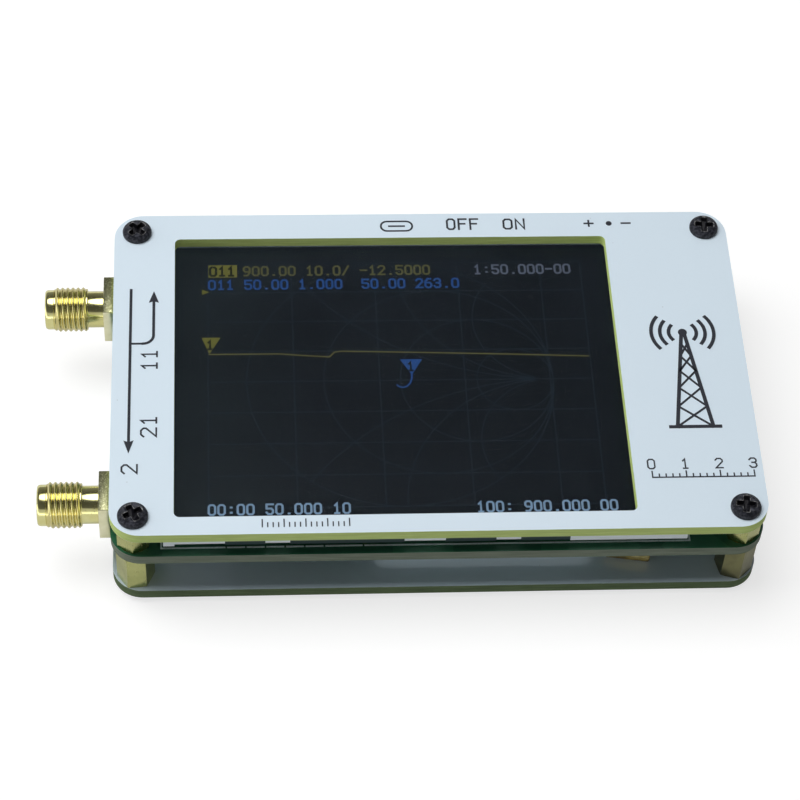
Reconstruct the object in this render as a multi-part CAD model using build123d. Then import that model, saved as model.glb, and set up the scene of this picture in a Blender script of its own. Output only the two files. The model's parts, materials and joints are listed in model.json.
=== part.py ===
"""Pocket two-port antenna analyzer.

Three circuit boards are stacked on brass standoffs: a white front panel with a window, a green
main board that carries the screen, and a white back panel that carries the cell.

Millimetres. +Z points up out of the screen, -Y faces the user, +X is to the user's right.
Sizes below are given in the boards' own frame: X and Y from the boards' centre, Z from the plane
that the rear screw heads stand on. The last lines shift everything by one offset, so that the
finished part's origin is the bottom centre of its bounding box.
"""
import os
from math import cos, radians, sin, tan

from build123d import *

os.makedirs("parts", exist_ok=True)

# ---------------------------------------------------------------- boards and their stack
board_corner = 4.0
front_panel_thickness = 1.6
main_board_thickness = 1.6
back_panel_thickness = 1.6
# Free height between the screen and the front panel, and below the main board over the cell
screen_play = 0.1
board_parts_room = 2.1

# ---------------------------------------------------------------- screws and standoffs (M2)
thread_radius = 1.0
thread_play = 0.02
clearance_hole_radius = 1.1
screw_end_gap = 0.5
screw_head_radius = 2.0
screw_head_height = 1.0
screw_head_round = 0.55
recess_span = 2.5
recess_arm = 0.7
recess_depth = 0.6
standoff_across_flats = 4.0
standoff_floor = 0.3
stud_gap = 1.2
screw_from_side = 3.1
screw_from_rear = 3.4
screw_from_front = 2.7

# How far each fastener happens to be turned, in degrees: front left, front right, rear left, rear right
recess_turns = (-22, -8, 30, 12)
upper_standoff_turns = (-94, -83, -68, -100)
lower_standoff_turns = (-115, -73, -88, -60)

# ---------------------------------------------------------------- window in the front panel
# How far the panel covers the screen module on each side
window_left_cover = 1.42
window_right_cover = 6.7
window_front_cover = 1.85
window_rear_cover = 1.3
window_corner = 0.8

# ---------------------------------------------------------------- screen module
lcd_length = 68.1
lcd_width = 50.0
# From the module's ends to the screws' axes, and from its long sides to the board's edges
lcd_to_left_screws = 3.8
lcd_to_right_screws = 7.4
lcd_to_front_edge = 0.95
lcd_to_rear_edge = 3.05
lcd_lift = 0.9
lcd_frame_height = 1.5
lcd_frame_wall = 0.8
lcd_frame_floor = 0.3
backlight_thickness = 0.5
touch_thickness = 0.7
touch_inset = 0.15
lcd_fit = 0.1
pad_length = 56.0
pad_width = 6.0
pad_from_edge = 3.0
notch_depth = 0.3
lcd_tape_thickness = 0.2
# Where black tape bridges the frame's long walls, as start and end along X from the module's centre
lcd_notches = ((-26.1, -20.9), (-17.7, -2.9), (2.45, 9.05), (12.25, 18.7))
# Where the walls' lower edges are cut back, so that the frame stands on its two ends
lcd_rebate = (-32.6, 18.7)
lcd_rebate_height = 0.55
lcd_rebate_depth = 0.5
ribbon_width = 26.0
ribbon_thickness = 0.15
ribbon_reach = 5.5
ribbon_bend = 0.5
ribbon_step = 1.2

# ---------------------------------------------------------------- coaxial jacks on the left edge
jack_to_rear_screw = 9.7
jack_to_front_standoff = 0.1656
jack_flange = 6.35
jack_flange_thickness = 1.45
jack_neck_length = 2.2
jack_neck_radius = 2.5
jack_crest_radius = 3.175
jack_root_radius = 2.78
jack_pitch = 25.4 / 36
jack_crests = 6
jack_lip_length = 1.55
jack_lip_radius = 2.7
jack_lip_chamfer = 0.3
jack_mouth_radius = 2.3
jack_mouth_depth = 1.9
insulator_radius = 2.05
insulator_play = 0.02
contact_radius = 0.635
contact_hole_radius = 0.47
contact_hole_depth = 3.0
contact_slot = 0.15
tail_radius = 0.38
tail_length = 1.9
jack_leg_width = 1.1
jack_leg_height = 1.0
jack_leg_length = 4.3
jack_leg_inset = 0.3

# ---------------------------------------------------------------- charging socket on the rear edge
charge_to_right_edge = 46.35
charge_width = 8.94
charge_height = 3.2
charge_depth = 7.35
charge_wall = 0.3
charge_proud = 0.3
charge_plug_depth = 2.0
tongue_width = 6.6
tongue_thickness = 0.7
tongue_setback = 0.9

# ---------------------------------------------------------------- power switch on the rear edge
power_to_right_edge = 33.75
power_length = 7.2
power_depth = 3.2
power_height = 1.9
power_setback = 0.3
power_wall = 0.6
power_floor = 0.4
power_leg_width = 0.5
power_leg_length = 0.8
power_travel = 2.0
power_play = 0.1
power_cover_thickness = 0.2
slider_length = 2.4
slider_depth = 1.5
knob_length = 1.4
knob_height = 0.8
knob_proud = 1.7
knob_ridges = 3
knob_ridge_depth = 0.12
knob_ridge_pitch = 0.4

# ---------------------------------------------------------------- three-way lever on the rear edge
jog_to_right_edge = 16.55
jog_length = 8.0
jog_depth = 4.4
jog_height = 2.2
jog_setback = 0.6
jog_wall = 0.6
jog_floor = 0.4
jog_cover_thickness = 0.2
jog_play = 0.1
jog_push = 0.45
jog_swing = 12.0
jog_pivot_depth = 1.9
jog_leg_length = 0.7
jog_leg_width = 0.6
plunger_length = 4.8
plunger_depth = 2.0
plunger_thickness = 0.5
pivot_pin_radius = 0.4
pivot_play = 0.05
lever_eye_radius = 0.9
lever_thickness = 0.75
lever_stem_width = 1.2
lever_cap_width = 2.2
lever_cap_height = 1.4
lever_cap_corner = 0.45
lever_proud = 2.0
lever_cap_play = 0.15

# ---------------------------------------------------------------- cell and its leads
cell_length = 30.4
cell_width = 40.0
cell_thickness = 4.0
cell_corner = 1.5
cell_round = 0.8
cell_to_right_edge = 20.75
cell_to_front_edge = 5.1
cell_pad_thickness = 0.3
cell_pad_margin = 5.0
guard_length = 6.0
guard_width = 14.0
guard_height = 2.4
guard_turn = -9.2
guard_gap = 0.6
guard_forward = 0.95
tab_width = 2.5
tab_thickness = 0.15
tab_offsets = (2.6, 9.0)
lead_radius = 0.45
lead_pitch = 2.0
lead_spread = 1.5
lead_run = 3.6
socket_to_right_edge = 11.75
socket_behind_guard = 10.85
socket_width = 6.0
socket_depth = 4.5
socket_height = 3.2
socket_wall = 0.5
plug_play = 0.05
plug_depth = 4.0
plug_inside = 2.5

# ---------------------------------------------------------------- small parts under the main board
# Places are x, y from the boards' centre, unless a name gives the edge that they are measured from
terminal_thickness = 0.15
chip_standoff = 0.1
leg_thickness = 0.13
leg_drop = 0.42
leg_reach = 0.98
fine_leg_width = 0.25
fine_leg_pitch = 0.5
wide_leg_width = 0.4
wide_leg_pitch = 1.27
wide_chip_length = 3.9
wide_chip_width = 4.9
wide_chip_height = 1.5
wide_chip_legs = 4
mixer_x = -20.5
mixer_to_front_edge = 14.0
mixer_middle_y = -2.5
mixer_to_rear_edge = 12.0
charger_x = -14.0
charger_to_rear_edge = 7.0
processor_place = (8.0, 4.0)
processor_side = 7.0
processor_height = 1.4
processor_legs = 12
codec_place = (-6.0, 4.0)
codec_side = 5.0
codec_height = 0.9
clock_place = (-15.0, 8.0)
clock_side = 3.0
clock_height = 1.0
clock_legs = 5
crystal_places = ((17.0, 6.0), (-15.0, 2.0))
crystal_length = 3.2
crystal_width = 2.5
crystal_height = 0.7
inductor_to_rear_edge = 5.5
inductor_side = 4.0
inductor_height = 1.8
light_to_rear_edge = 1.4
light_to_jog_leg = 2.3
light_pitch = 3.2
light_length = 1.6
light_width = 0.8
light_height = 0.6
small_length = 1.0
small_width = 0.5
capacitor_height = 0.5
resistor_height = 0.35
small_columns = 6
small_rows = 4
row_pitch = 2.2
capacitor_pitch = 1.9
capacitor_start = (-34.0, -4.5)
resistor_pitch = 2.2
resistor_start = (4.0, -14.0)
can_length = 9.0
can_width = 14.0
can_height = 2.0
can_wall = 0.2
can_to_left_edge = 11.25
# Each can lies beside a jack, off its axis by this much towards the rear: port 1, port 2
can_offsets = (0.0, 2.0)

# ---------------------------------------------------------------- the stack and the outline, worked out
upper_gap = lcd_lift + lcd_frame_height + touch_thickness + screen_play
lower_gap = cell_pad_thickness + cell_thickness + board_parts_room
back_bottom = screw_head_height
back_top = back_bottom + back_panel_thickness
main_bottom = back_top + lower_gap
main_top = main_bottom + main_board_thickness
front_bottom = main_top + upper_gap
front_top = front_bottom + front_panel_thickness

board_length = lcd_length + lcd_to_left_screws + lcd_to_right_screws + 2 * screw_from_side
board_width = lcd_width + lcd_to_front_edge + lcd_to_rear_edge
left_edge = -board_length / 2
right_edge = board_length / 2
rear_edge = board_width / 2
front_edge = -board_width / 2

screw_x = board_length / 2 - screw_from_side
corners = (
    (-screw_x, front_edge + screw_from_front),
    (screw_x, front_edge + screw_from_front),
    (-screw_x, rear_edge - screw_from_rear),
    (screw_x, rear_edge - screw_from_rear),
)

# The screws take up what the standoffs leave them, and so does the stud of each upper standoff
screw_bite = upper_gap - standoff_floor - screw_end_gap
screw_length = front_panel_thickness + screw_bite
standoff_corner_radius = standoff_across_flats / 2 / cos(radians(30))

thread_length = jack_crests * jack_pitch
jack_reach = jack_flange_thickness + jack_neck_length + thread_length + jack_lip_length

lcd_x = (lcd_to_left_screws - lcd_to_right_screws) / 2
lcd_y = (lcd_to_front_edge - lcd_to_rear_edge) / 2

# The bounding box reaches past the boards by a jack on the left and by the lever at the rear
place = Pos(jack_reach / 2, -lever_proud / 2, 0)


def save(name, shape):
    """Shift a finished shape to the part's frame and write it."""
    export_step(place * shape, f"parts/{name}.step")


def block(x_low, x_high, y_low, y_high, z_low, z_high):
    """A plain block between two corners."""
    centre = Pos((x_low + x_high) / 2, (y_low + y_high) / 2, (z_low + z_high) / 2)
    return centre * Box(x_high - x_low, y_high - y_low, z_high - z_low)


def block_at(x, y, length, width, z_low, z_high):
    """A plain block centred on x, y."""
    return block(x - length / 2, x + length / 2, y - width / 2, y + width / 2, z_low, z_high)


def post(x, y, radius, z_low, z_high):
    """An upright cylinder between two levels."""
    return Pos(x, y, (z_low + z_high) / 2) * Cylinder(radius, z_high - z_low)


def rounded_slab(x, y, length, width, corner, z_low, z_high):
    """A board or pad with rounded corners."""
    return Pos(x, y, z_low) * extrude(RectangleRounded(length, width, corner), z_high - z_low)


def group(shapes):
    """Several separate solids kept together as one node."""
    return Compound([solid for shape in shapes for solid in shape.solids()])


# ---------------------------------------------------------------- boards
def make_board(z_low, z_high):
    """A board of the common outline with its four corner holes."""
    board = rounded_slab(0, 0, board_length, board_width, board_corner, z_low, z_high)
    for x, y in corners:
        board -= post(x, y, clearance_hole_radius, z_low, z_high)
    return board


def make_front_panel():
    """The white panel with the window over the screen."""
    length = lcd_length - window_left_cover - window_right_cover
    width = lcd_width - window_front_cover - window_rear_cover
    x = lcd_x + (window_left_cover - window_right_cover) / 2
    y = lcd_y + (window_front_cover - window_rear_cover) / 2
    panel = make_board(front_bottom, front_top)
    return panel - rounded_slab(x, y, length, width, window_corner, front_bottom, front_top)


save("front_panel", make_front_panel())
save("main_board", make_board(main_bottom, main_top))
save("back_panel", make_board(back_bottom, back_top))


# ---------------------------------------------------------------- fasteners
def make_screw(turn):
    """A pan-head screw with a cross recess, standing head up with its seat at z = 0."""
    head = post(0, 0, screw_head_radius, 0, screw_head_height)
    head = fillet(head.edges().group_by(Axis.Z)[-1], screw_head_round)
    arms = Rectangle(recess_span, recess_arm) + Rectangle(recess_arm, recess_span)
    recess = Pos(0, 0, screw_head_height - recess_depth) * extrude(arms, recess_depth)
    cone = Pos(0, 0, screw_head_height - recess_depth / 2)
    cone *= Cone(recess_arm / 2, recess_span / 3, recess_depth)
    shank = post(0, 0, thread_radius, -screw_length, 0)
    return Rot(0, 0, turn) * (head + shank - recess - cone)


def make_hex(x, y, turn, z_low, z_high):
    """A hexagonal post with one corner at the angle turn."""
    outline = RegularPolygon(standoff_across_flats / 2, 6, major_radius=False, rotation=turn)
    return Pos(x, y, z_low) * extrude(outline, z_high - z_low)


def make_upper_standoff(x, y, turn):
    """A short hexagon between front panel and main board, with a stud that goes down through the board."""
    body = make_hex(x, y, turn, main_top, front_bottom)
    stud_end = back_top + screw_bite + stud_gap
    body += post(x, y, thread_radius, stud_end, main_top)
    return body - post(x, y, thread_radius + thread_play, main_top + standoff_floor, front_bottom)


def make_lower_standoff(x, y, turn):
    """A longer hexagon between back panel and main board, bored right through."""
    body = make_hex(x, y, turn, back_top, main_bottom)
    return body - post(x, y, thread_radius + thread_play, back_top, main_bottom)


front_screws = []
back_screws = []
upper_standoffs = []
lower_standoffs = []
for index, (x, y) in enumerate(corners):
    screw = make_screw(recess_turns[index])
    front_screws.append(Pos(x, y, front_top) * screw)
    back_screws.append(Pos(x, y, back_bottom) * Rot(180, 0, 0) * screw)
    upper_standoffs.append(make_upper_standoff(x, y, upper_standoff_turns[index]))
    lower_standoffs.append(make_lower_standoff(x, y, lower_standoff_turns[index]))

save("front_screws", group(front_screws))
save("back_screws", group(back_screws))
save("upper_standoffs", group(upper_standoffs))
save("lower_standoffs", group(lower_standoffs))

# ---------------------------------------------------------------- screen module
lcd_right = lcd_x + lcd_length / 2
lcd_bottom = main_top + lcd_lift
lcd_top = lcd_bottom + lcd_frame_height
tray_length = lcd_length - 2 * lcd_frame_wall
tray_width = lcd_width - 2 * lcd_frame_wall
tray_floor = lcd_bottom + lcd_frame_floor
backlight_top = tray_floor + backlight_thickness
touch_top = lcd_top + touch_thickness

lcd_frame = block_at(lcd_x, lcd_y, lcd_length, lcd_width, lcd_bottom, lcd_top)
lcd_frame -= block_at(lcd_x, lcd_y, tray_length, tray_width, tray_floor, lcd_top)
lcd_tapes = []
for side in (-1, 1):
    wall_y = lcd_y + side * lcd_width / 2
    rebate_y = wall_y - side * lcd_rebate_depth
    lcd_frame -= block(
        lcd_x + lcd_rebate[0],
        lcd_x + lcd_rebate[1],
        min(rebate_y, wall_y),
        max(rebate_y, wall_y),
        lcd_bottom,
        lcd_bottom + lcd_rebate_height,
    )
    seat_y = wall_y - side * notch_depth
    tape_y = seat_y + side * lcd_tape_thickness
    for start, end in lcd_notches:
        ends = (lcd_x + start, lcd_x + end)
        lcd_frame -= block(*ends, min(seat_y, wall_y), max(seat_y, wall_y), lcd_bottom, lcd_top)
        lcd_tapes.append(block(*ends, min(seat_y, tape_y), max(seat_y, tape_y), lcd_bottom, lcd_top))
save("lcd_frame", lcd_frame)
save("lcd_side_tapes", group(lcd_tapes))

glass_length = tray_length - 2 * lcd_fit
glass_width = tray_width - 2 * lcd_fit
save("lcd_backlight", block_at(lcd_x, lcd_y, glass_length, glass_width, tray_floor, backlight_top))
save("lcd_glass", block_at(lcd_x, lcd_y, glass_length, glass_width, backlight_top, lcd_top))

touch_length = lcd_length - 2 * touch_inset
touch_width = lcd_width - 2 * touch_inset
save("touch_glass", block_at(lcd_x, lcd_y, touch_length, touch_width, lcd_top, touch_top))

lcd_pads = []
for side in (-1, 1):
    pad_y = lcd_y + side * (lcd_width / 2 - pad_from_edge - pad_width / 2)
    lcd_pads.append(block_at(lcd_x, pad_y, pad_length, pad_width, main_top, lcd_bottom))
save("lcd_foam_pads", group(lcd_pads))

ribbon_start = lcd_bottom + lcd_frame_height / 2
ribbon_end = main_top + ribbon_thickness / 2
ribbon_route = FilletPolyline(
    (lcd_right, ribbon_start),
    (lcd_right + ribbon_step, ribbon_start),
    (lcd_right + 1.6 * ribbon_step, ribbon_end),
    (lcd_right + ribbon_reach, ribbon_end),
    radius=ribbon_bend,
)
ribbon_section = trace(ribbon_route.edges(), line_width=ribbon_thickness)
lcd_ribbon = Pos(0, lcd_y, 0) * extrude(Plane.XZ * ribbon_section, ribbon_width / 2, both=True)
save("lcd_ribbon", lcd_ribbon)

# ---------------------------------------------------------------- coaxial jacks
jack_axis_z = main_top + tail_radius
jack_half = jack_flange / 2
jack_leg_side = jack_half - jack_leg_inset
front_screw_y = corners[0][1]
rear_screw_y = corners[2][1]
jack_rear_y = rear_screw_y - jack_to_rear_screw
# The legs of the front jack pass beside the corner's standoffs
jack_front_y = front_screw_y + standoff_corner_radius + jack_to_front_standoff + jack_leg_side
insulator_end = jack_reach - jack_mouth_depth


def make_jack_profile():
    """Outer profile of the round part, from the flange outwards, along X with the radius along Y."""
    points = [(0, 0), (0, jack_neck_radius)]
    start = jack_flange_thickness + jack_neck_length
    for crest in range(jack_crests):
        low = start + crest * jack_pitch
        points.append((low, jack_root_radius))
        points.append((low + 0.38 * jack_pitch, jack_crest_radius))
        points.append((low + 0.62 * jack_pitch, jack_crest_radius))
    lip_start = start + thread_length
    points.append((lip_start, jack_root_radius))
    points.append((lip_start, jack_lip_radius))
    points.append((jack_reach - jack_lip_chamfer, jack_lip_radius))
    points.append((jack_reach, jack_lip_radius - jack_lip_chamfer))
    points.append((jack_reach, 0))
    points.insert(2, (start, jack_neck_radius))
    return make_face(Polyline(*points, close=True))


def along_x(radius, x_low, x_high):
    """A cylinder on the X axis between two distances."""
    return Pos((x_low + x_high) / 2, 0, 0) * Rot(0, 90, 0) * Cylinder(radius, x_high - x_low)


def make_jack_body():
    """Gold shell: square flange, threaded barrel and four legs that hold the board's edge."""
    body = revolve(make_jack_profile(), Axis.X)
    body += block(0, jack_flange_thickness, -jack_half, jack_half, -jack_half, jack_half)
    leg_y = jack_leg_side - jack_leg_width / 2
    board_top = -tail_radius
    board_bottom = board_top - main_board_thickness
    for y in (-leg_y, leg_y):
        for low in (board_top, board_bottom - jack_leg_height):
            high = low + jack_leg_height
            body += block_at(-jack_leg_length / 2, y, jack_leg_length, jack_leg_width, low, high)
    body -= along_x(insulator_radius + insulator_play, 0, insulator_end)
    return body - along_x(jack_mouth_radius, insulator_end, jack_reach)


def make_jack_insulator():
    """White dielectric sleeve, level with the floor of the mouth."""
    sleeve = along_x(insulator_radius, 0, insulator_end)
    return sleeve - along_x(contact_radius + insulator_play, 0, insulator_end)


def make_jack_contact():
    """Gold centre contact: a slotted socket outside and a solder tail on the board."""
    contact = along_x(contact_radius, 0, insulator_end)
    contact += along_x(tail_radius, -tail_length, 0)
    hole_start = insulator_end - contact_hole_depth
    contact -= along_x(contact_hole_radius, hole_start, insulator_end)
    slot_width = 2 * contact_radius
    return contact - block(hole_start, insulator_end, -contact_slot / 2, contact_slot / 2, 0, slot_width)


for name, jack_y in (("port_1", jack_rear_y), ("port_2", jack_front_y)):
    seat = Pos(left_edge, jack_y, jack_axis_z) * Rot(0, 0, 180)
    save(f"{name}_jack", seat * make_jack_body())
    save(f"{name}_insulator", seat * make_jack_insulator())
    save(f"{name}_contact", seat * make_jack_contact())

# ---------------------------------------------------------------- charging socket
charge_x = right_edge - charge_to_right_edge
charge_mouth = rear_edge + charge_proud
charge_back = charge_mouth - charge_depth
charge_z = main_bottom - charge_height / 2


def make_stadium(width, height, y_low, y_high):
    """A flat-sided tube section with round ends, extruded along Y."""
    outline = SlotOverall(width, height)
    start = Pos(charge_x, y_high, charge_z)
    return start * extrude(Plane.XZ * outline, y_high - y_low)


charge_bore_width = charge_width - 2 * charge_wall
charge_bore_height = charge_height - 2 * charge_wall
charge_shell = make_stadium(charge_width, charge_height, charge_back, charge_mouth)
charge_shell -= make_stadium(charge_bore_width, charge_bore_height, charge_back, charge_mouth)
save("charge_socket_shell", charge_shell)

core_width = charge_bore_width - 2 * plug_play
core_height = charge_bore_height - 2 * plug_play
charge_core = make_stadium(core_width, core_height, charge_back, charge_back + charge_plug_depth)
charge_core += block(
    charge_x - tongue_width / 2,
    charge_x + tongue_width / 2,
    charge_back,
    charge_mouth - tongue_setback,
    charge_z - tongue_thickness / 2,
    charge_z + tongue_thickness / 2,
)
save("charge_socket_tongue", charge_core)

# ---------------------------------------------------------------- power switch
power_x = right_edge - power_to_right_edge
power_rear = rear_edge - power_setback
power_front = power_rear - power_depth
power_y = (power_front + power_rear) / 2
power_bottom = main_bottom - power_height
power_lid = power_bottom + power_cover_thickness
power_ceiling = main_bottom - power_floor
power_inner_rear = power_rear - power_wall
power_room = slider_length + power_travel + 2 * power_play
power_slot = knob_length + power_travel + 2 * power_play
slider_bottom = power_lid + power_play
slider_top = power_ceiling - power_play
slider_rear = power_inner_rear - power_play
knob_bottom = slider_bottom
knob_top = knob_bottom + knob_height
knob_tip = power_rear + knob_proud
# The knob rests in the ON place, half the travel to the right of the switch's centre
knob_x = power_x + power_travel / 2

power_case = block_at(power_x, power_y, power_length, power_depth, power_lid, main_bottom)
power_case -= block_at(
    power_x,
    (power_front + power_wall + power_inner_rear) / 2,
    power_room,
    power_inner_rear - power_front - power_wall,
    power_lid,
    power_ceiling,
)
power_case -= block_at(
    power_x, (power_inner_rear + power_rear) / 2, power_slot, power_wall, power_lid, knob_top + power_play
)
save("power_switch_case", power_case)

power_cover = block_at(power_x, power_y, power_length, power_depth, power_bottom, power_lid)
save("power_switch_cover", power_cover)

slider_y = slider_rear - slider_depth / 2
stick_y = (slider_rear + knob_tip) / 2
knob = block_at(knob_x, slider_y, slider_length, slider_depth, slider_bottom, slider_top)
knob += block_at(knob_x, stick_y, knob_length, knob_tip - slider_rear, knob_bottom, knob_top)
groove_y = knob_tip - knob_ridge_depth / 2
groove_width = knob_ridge_pitch / 2
for ridge in range(knob_ridges):
    ridge_x = knob_x + (ridge - (knob_ridges - 1) / 2) * knob_ridge_pitch
    knob -= block_at(ridge_x, groove_y, groove_width, knob_ridge_depth, knob_bottom, knob_top)
save("power_switch_knob", knob)

terminal_low = main_bottom - terminal_thickness
power_legs = []
for leg in (-1, 0, 1):
    leg_x = power_x + leg * power_length / 3
    leg_y = power_front - power_leg_length / 2
    power_legs.append(block_at(leg_x, leg_y, power_leg_width, power_leg_length, terminal_low, main_bottom))
save("power_switch_legs", group(power_legs))

# ---------------------------------------------------------------- three-way lever switch
jog_x = right_edge - jog_to_right_edge
jog_rear = rear_edge - jog_setback
jog_front = jog_rear - jog_depth
jog_y = (jog_front + jog_rear) / 2
jog_bottom = main_bottom - jog_height
jog_lid = jog_bottom + jog_cover_thickness
jog_ceiling = main_bottom - jog_floor
jog_inner_front = jog_front + jog_wall
jog_inner_rear = jog_rear - jog_wall
pivot_y = jog_rear - jog_pivot_depth
plate_top = jog_ceiling - jog_play
plate_bottom = plate_top - plunger_thickness
lever_top = plate_bottom - jog_play
lever_bottom = lever_top - lever_thickness
jog_room = plunger_length + 2 * jog_play
# The stem sweeps the widest at the outer face of the rear wall, with the lever pushed fully in
stem_reach = jog_pivot_depth + jog_push
swing = radians(jog_swing)
jog_slot = 2 * (lever_stem_width / 2 / cos(swing) + stem_reach * tan(swing) + jog_play)
# The cap starts where its corner still clears the case when it is swung and pushed together
cap_reach = (stem_reach + lever_cap_play + lever_cap_width / 2 * sin(swing)) / cos(swing)
cap_start = pivot_y + cap_reach
lever_tip = rear_edge + lever_proud
cap_middle = (lever_top + lever_bottom) / 2

jog_case = block_at(jog_x, jog_y, jog_length, jog_depth, jog_lid, main_bottom)
jog_case -= block(
    jog_x - jog_room / 2, jog_x + jog_room / 2, jog_inner_front, jog_inner_rear, jog_lid, jog_ceiling
)
jog_case -= block(
    jog_x - jog_slot / 2, jog_x + jog_slot / 2, jog_inner_rear, jog_rear, jog_lid, lever_top + jog_play / 2
)
save("jog_switch_case", jog_case)
save("jog_switch_cover", block_at(jog_x, jog_y, jog_length, jog_depth, jog_bottom, jog_lid))

plunger_rear = pivot_y + lever_eye_radius
plunger = block(
    jog_x - plunger_length / 2,
    jog_x + plunger_length / 2,
    plunger_rear - plunger_depth,
    plunger_rear,
    plate_bottom,
    plate_top,
)
plunger += post(jog_x, pivot_y, pivot_pin_radius, lever_bottom, plate_bottom)
save("jog_plunger", plunger)

lever = post(jog_x, pivot_y, lever_eye_radius, lever_bottom, lever_top)
lever += block_at(
    jog_x, (pivot_y + cap_start) / 2, lever_stem_width, cap_start - pivot_y, lever_bottom, lever_top
)
cap = rounded_slab(
    jog_x,
    (cap_start + lever_tip) / 2,
    lever_cap_width,
    lever_tip - cap_start,
    lever_cap_corner,
    cap_middle - lever_cap_height / 2,
    cap_middle + lever_cap_height / 2,
)
lever += cap
lever -= post(jog_x, pivot_y, pivot_pin_radius + pivot_play, lever_bottom, lever_top)
save("jog_lever", lever)

jog_legs = []
for side in (-1, 1):
    for leg in (-1, 1):
        leg_x = jog_x + side * (jog_length + jog_leg_length) / 2
        leg_y = jog_y + leg * jog_depth / 4
        jog_legs.append(block_at(leg_x, leg_y, jog_leg_length, jog_leg_width, terminal_low, main_bottom))
save("jog_switch_legs", group(jog_legs))

# ---------------------------------------------------------------- cell
cell_right = right_edge - cell_to_right_edge
cell_front = front_edge + cell_to_front_edge
cell_x = cell_right - cell_length / 2
cell_y = cell_front + cell_width / 2
cell_bottom = back_top + cell_pad_thickness
cell_top = cell_bottom + cell_thickness
cell_pad_length = cell_length - 2 * cell_pad_margin
cell_pad_width = cell_width - 2 * cell_pad_margin
save("cell_tape", block_at(cell_x, cell_y, cell_pad_length, cell_pad_width, back_top, cell_bottom))

cell = rounded_slab(cell_x, cell_y, cell_length, cell_width, cell_corner, cell_bottom, cell_top)
cell_rims = cell.edges().group_by(Axis.Z)
cell = fillet(cell_rims[0] + cell_rims[-1], cell_round)
save("cell", cell)

# The protection board is wrapped in tape and sits a little askew beside the cell's right end
guard_top = back_top + guard_height
guard_front = cell_front - guard_forward
guard_corner = Pos(cell_right + guard_gap, guard_front, 0)
guard_seat = guard_corner * Rot(0, 0, guard_turn)
guard = guard_seat * block(0, guard_length, 0, guard_width, back_top, guard_top)
save("cell_guard_board", guard)

tabs = []
for offset in tab_offsets:
    tab_y = cell_front + offset
    tab_z = back_top + guard_height / 2
    strip = block(
        cell_right, cell_right + guard_length / 2, tab_y, tab_y + tab_width, tab_z, tab_z + tab_thickness
    )
    tabs.append((strip - guard).solids().sort_by(Axis.X)[0])
save("cell_tabs", group(tabs))

# ---------------------------------------------------------------- cell connector and leads
socket_x = right_edge - socket_to_right_edge
socket_y = guard_front + guard_width + socket_behind_guard
socket_low = main_bottom - socket_height
plug_half = socket_width / 2 - socket_wall - plug_play
plug_low = socket_low + socket_wall + plug_play
plug_high = main_bottom - socket_wall - plug_play
plug_y = socket_y + plug_inside - plug_depth
plug_z = (plug_low + plug_high) / 2

socket_middle_y = socket_y + socket_depth / 2
socket = block_at(socket_x, socket_middle_y, socket_width, socket_depth, socket_low, main_bottom)
socket -= block(
    socket_x - socket_width / 2 + socket_wall,
    socket_x + socket_width / 2 - socket_wall,
    socket_y,
    socket_y + plug_inside + plug_play,
    socket_low + socket_wall,
    main_bottom - socket_wall,
)
save("cell_socket", socket)
save(
    "cell_plug",
    block(socket_x - plug_half, socket_x + plug_half, plug_y, plug_y + plug_depth, plug_low, plug_high),
)


def make_lead(start_offset, end_offset):
    """One insulated wire from the protection board's rear end to the plug."""
    start = guard_seat * Pos(guard_length / 2 + start_offset, guard_width, guard_top - guard_height / 3)
    first = start * Pos(0, lead_run, 0)
    last = Vector(socket_x + end_offset, plug_y, plug_z)
    route = FilletPolyline(
        start.position,
        first.position,
        last - Vector(0, lead_run, 0),
        last,
        radius=lead_run * 0.45,
    )
    section = Plane(origin=route @ 0, z_dir=route % 0) * Circle(lead_radius)
    return sweep(section, path=route)


save("cell_lead_positive", make_lead(lead_spread / 2, lead_pitch / 2))
save("cell_lead_negative", make_lead(-lead_spread / 2, -lead_pitch / 2))


# ---------------------------------------------------------------- chips under the main board
def make_leg(x, y, turn, width, chip_height):
    """A bent chip leg: it leaves the body at half height and ends in a foot on the board."""
    mid = chip_height / 2
    outline = make_face(
        Polyline(
            (0, mid),
            (leg_drop, mid),
            (leg_drop, leg_thickness),
            (leg_reach, leg_thickness),
            (leg_reach, 0),
            (leg_drop - leg_thickness, 0),
            (leg_drop - leg_thickness, mid - leg_thickness),
            (0, mid - leg_thickness),
            close=True,
        )
    )
    leg = extrude(Plane.XZ * outline, width / 2, both=True)
    return Pos(x, y, main_bottom) * Rot(0, 0, turn) * Rot(180, 0, 0) * leg


def make_chip(place_xy, length, width, height, count, pitch, leg_width, four_sides=False):
    """A legged chip hanging from the underside, with rows of legs on two or four sides."""
    x, y = place_xy
    shapes = [block_at(x, y, length, width, main_bottom - height, main_bottom - chip_standoff)]
    for step in range(count):
        offset = (step - (count - 1) / 2) * pitch
        shapes.append(make_leg(x + length / 2, y + offset, 0, leg_width, height))
        shapes.append(make_leg(x - length / 2, y + offset, 180, leg_width, height))
        if four_sides:
            shapes.append(make_leg(x + offset, y + width / 2, 90, leg_width, height))
            shapes.append(make_leg(x + offset, y - width / 2, -90, leg_width, height))
    return shapes


def make_wide_chip(place_xy):
    """The common eight-legged chip."""
    size = (wide_chip_length, wide_chip_width, wide_chip_height)
    return make_chip(place_xy, *size, wide_chip_legs, wide_leg_pitch, wide_leg_width)


def make_square_chip(place_xy, side, height, count, four_sides):
    """A square chip with fine legs."""
    return make_chip(place_xy, side, side, height, count, fine_leg_pitch, fine_leg_width, four_sides)


def hang(x, y, length, width, height):
    """A small block soldered straight to the underside."""
    return block_at(x, y, length, width, main_bottom - height, main_bottom)


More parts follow.
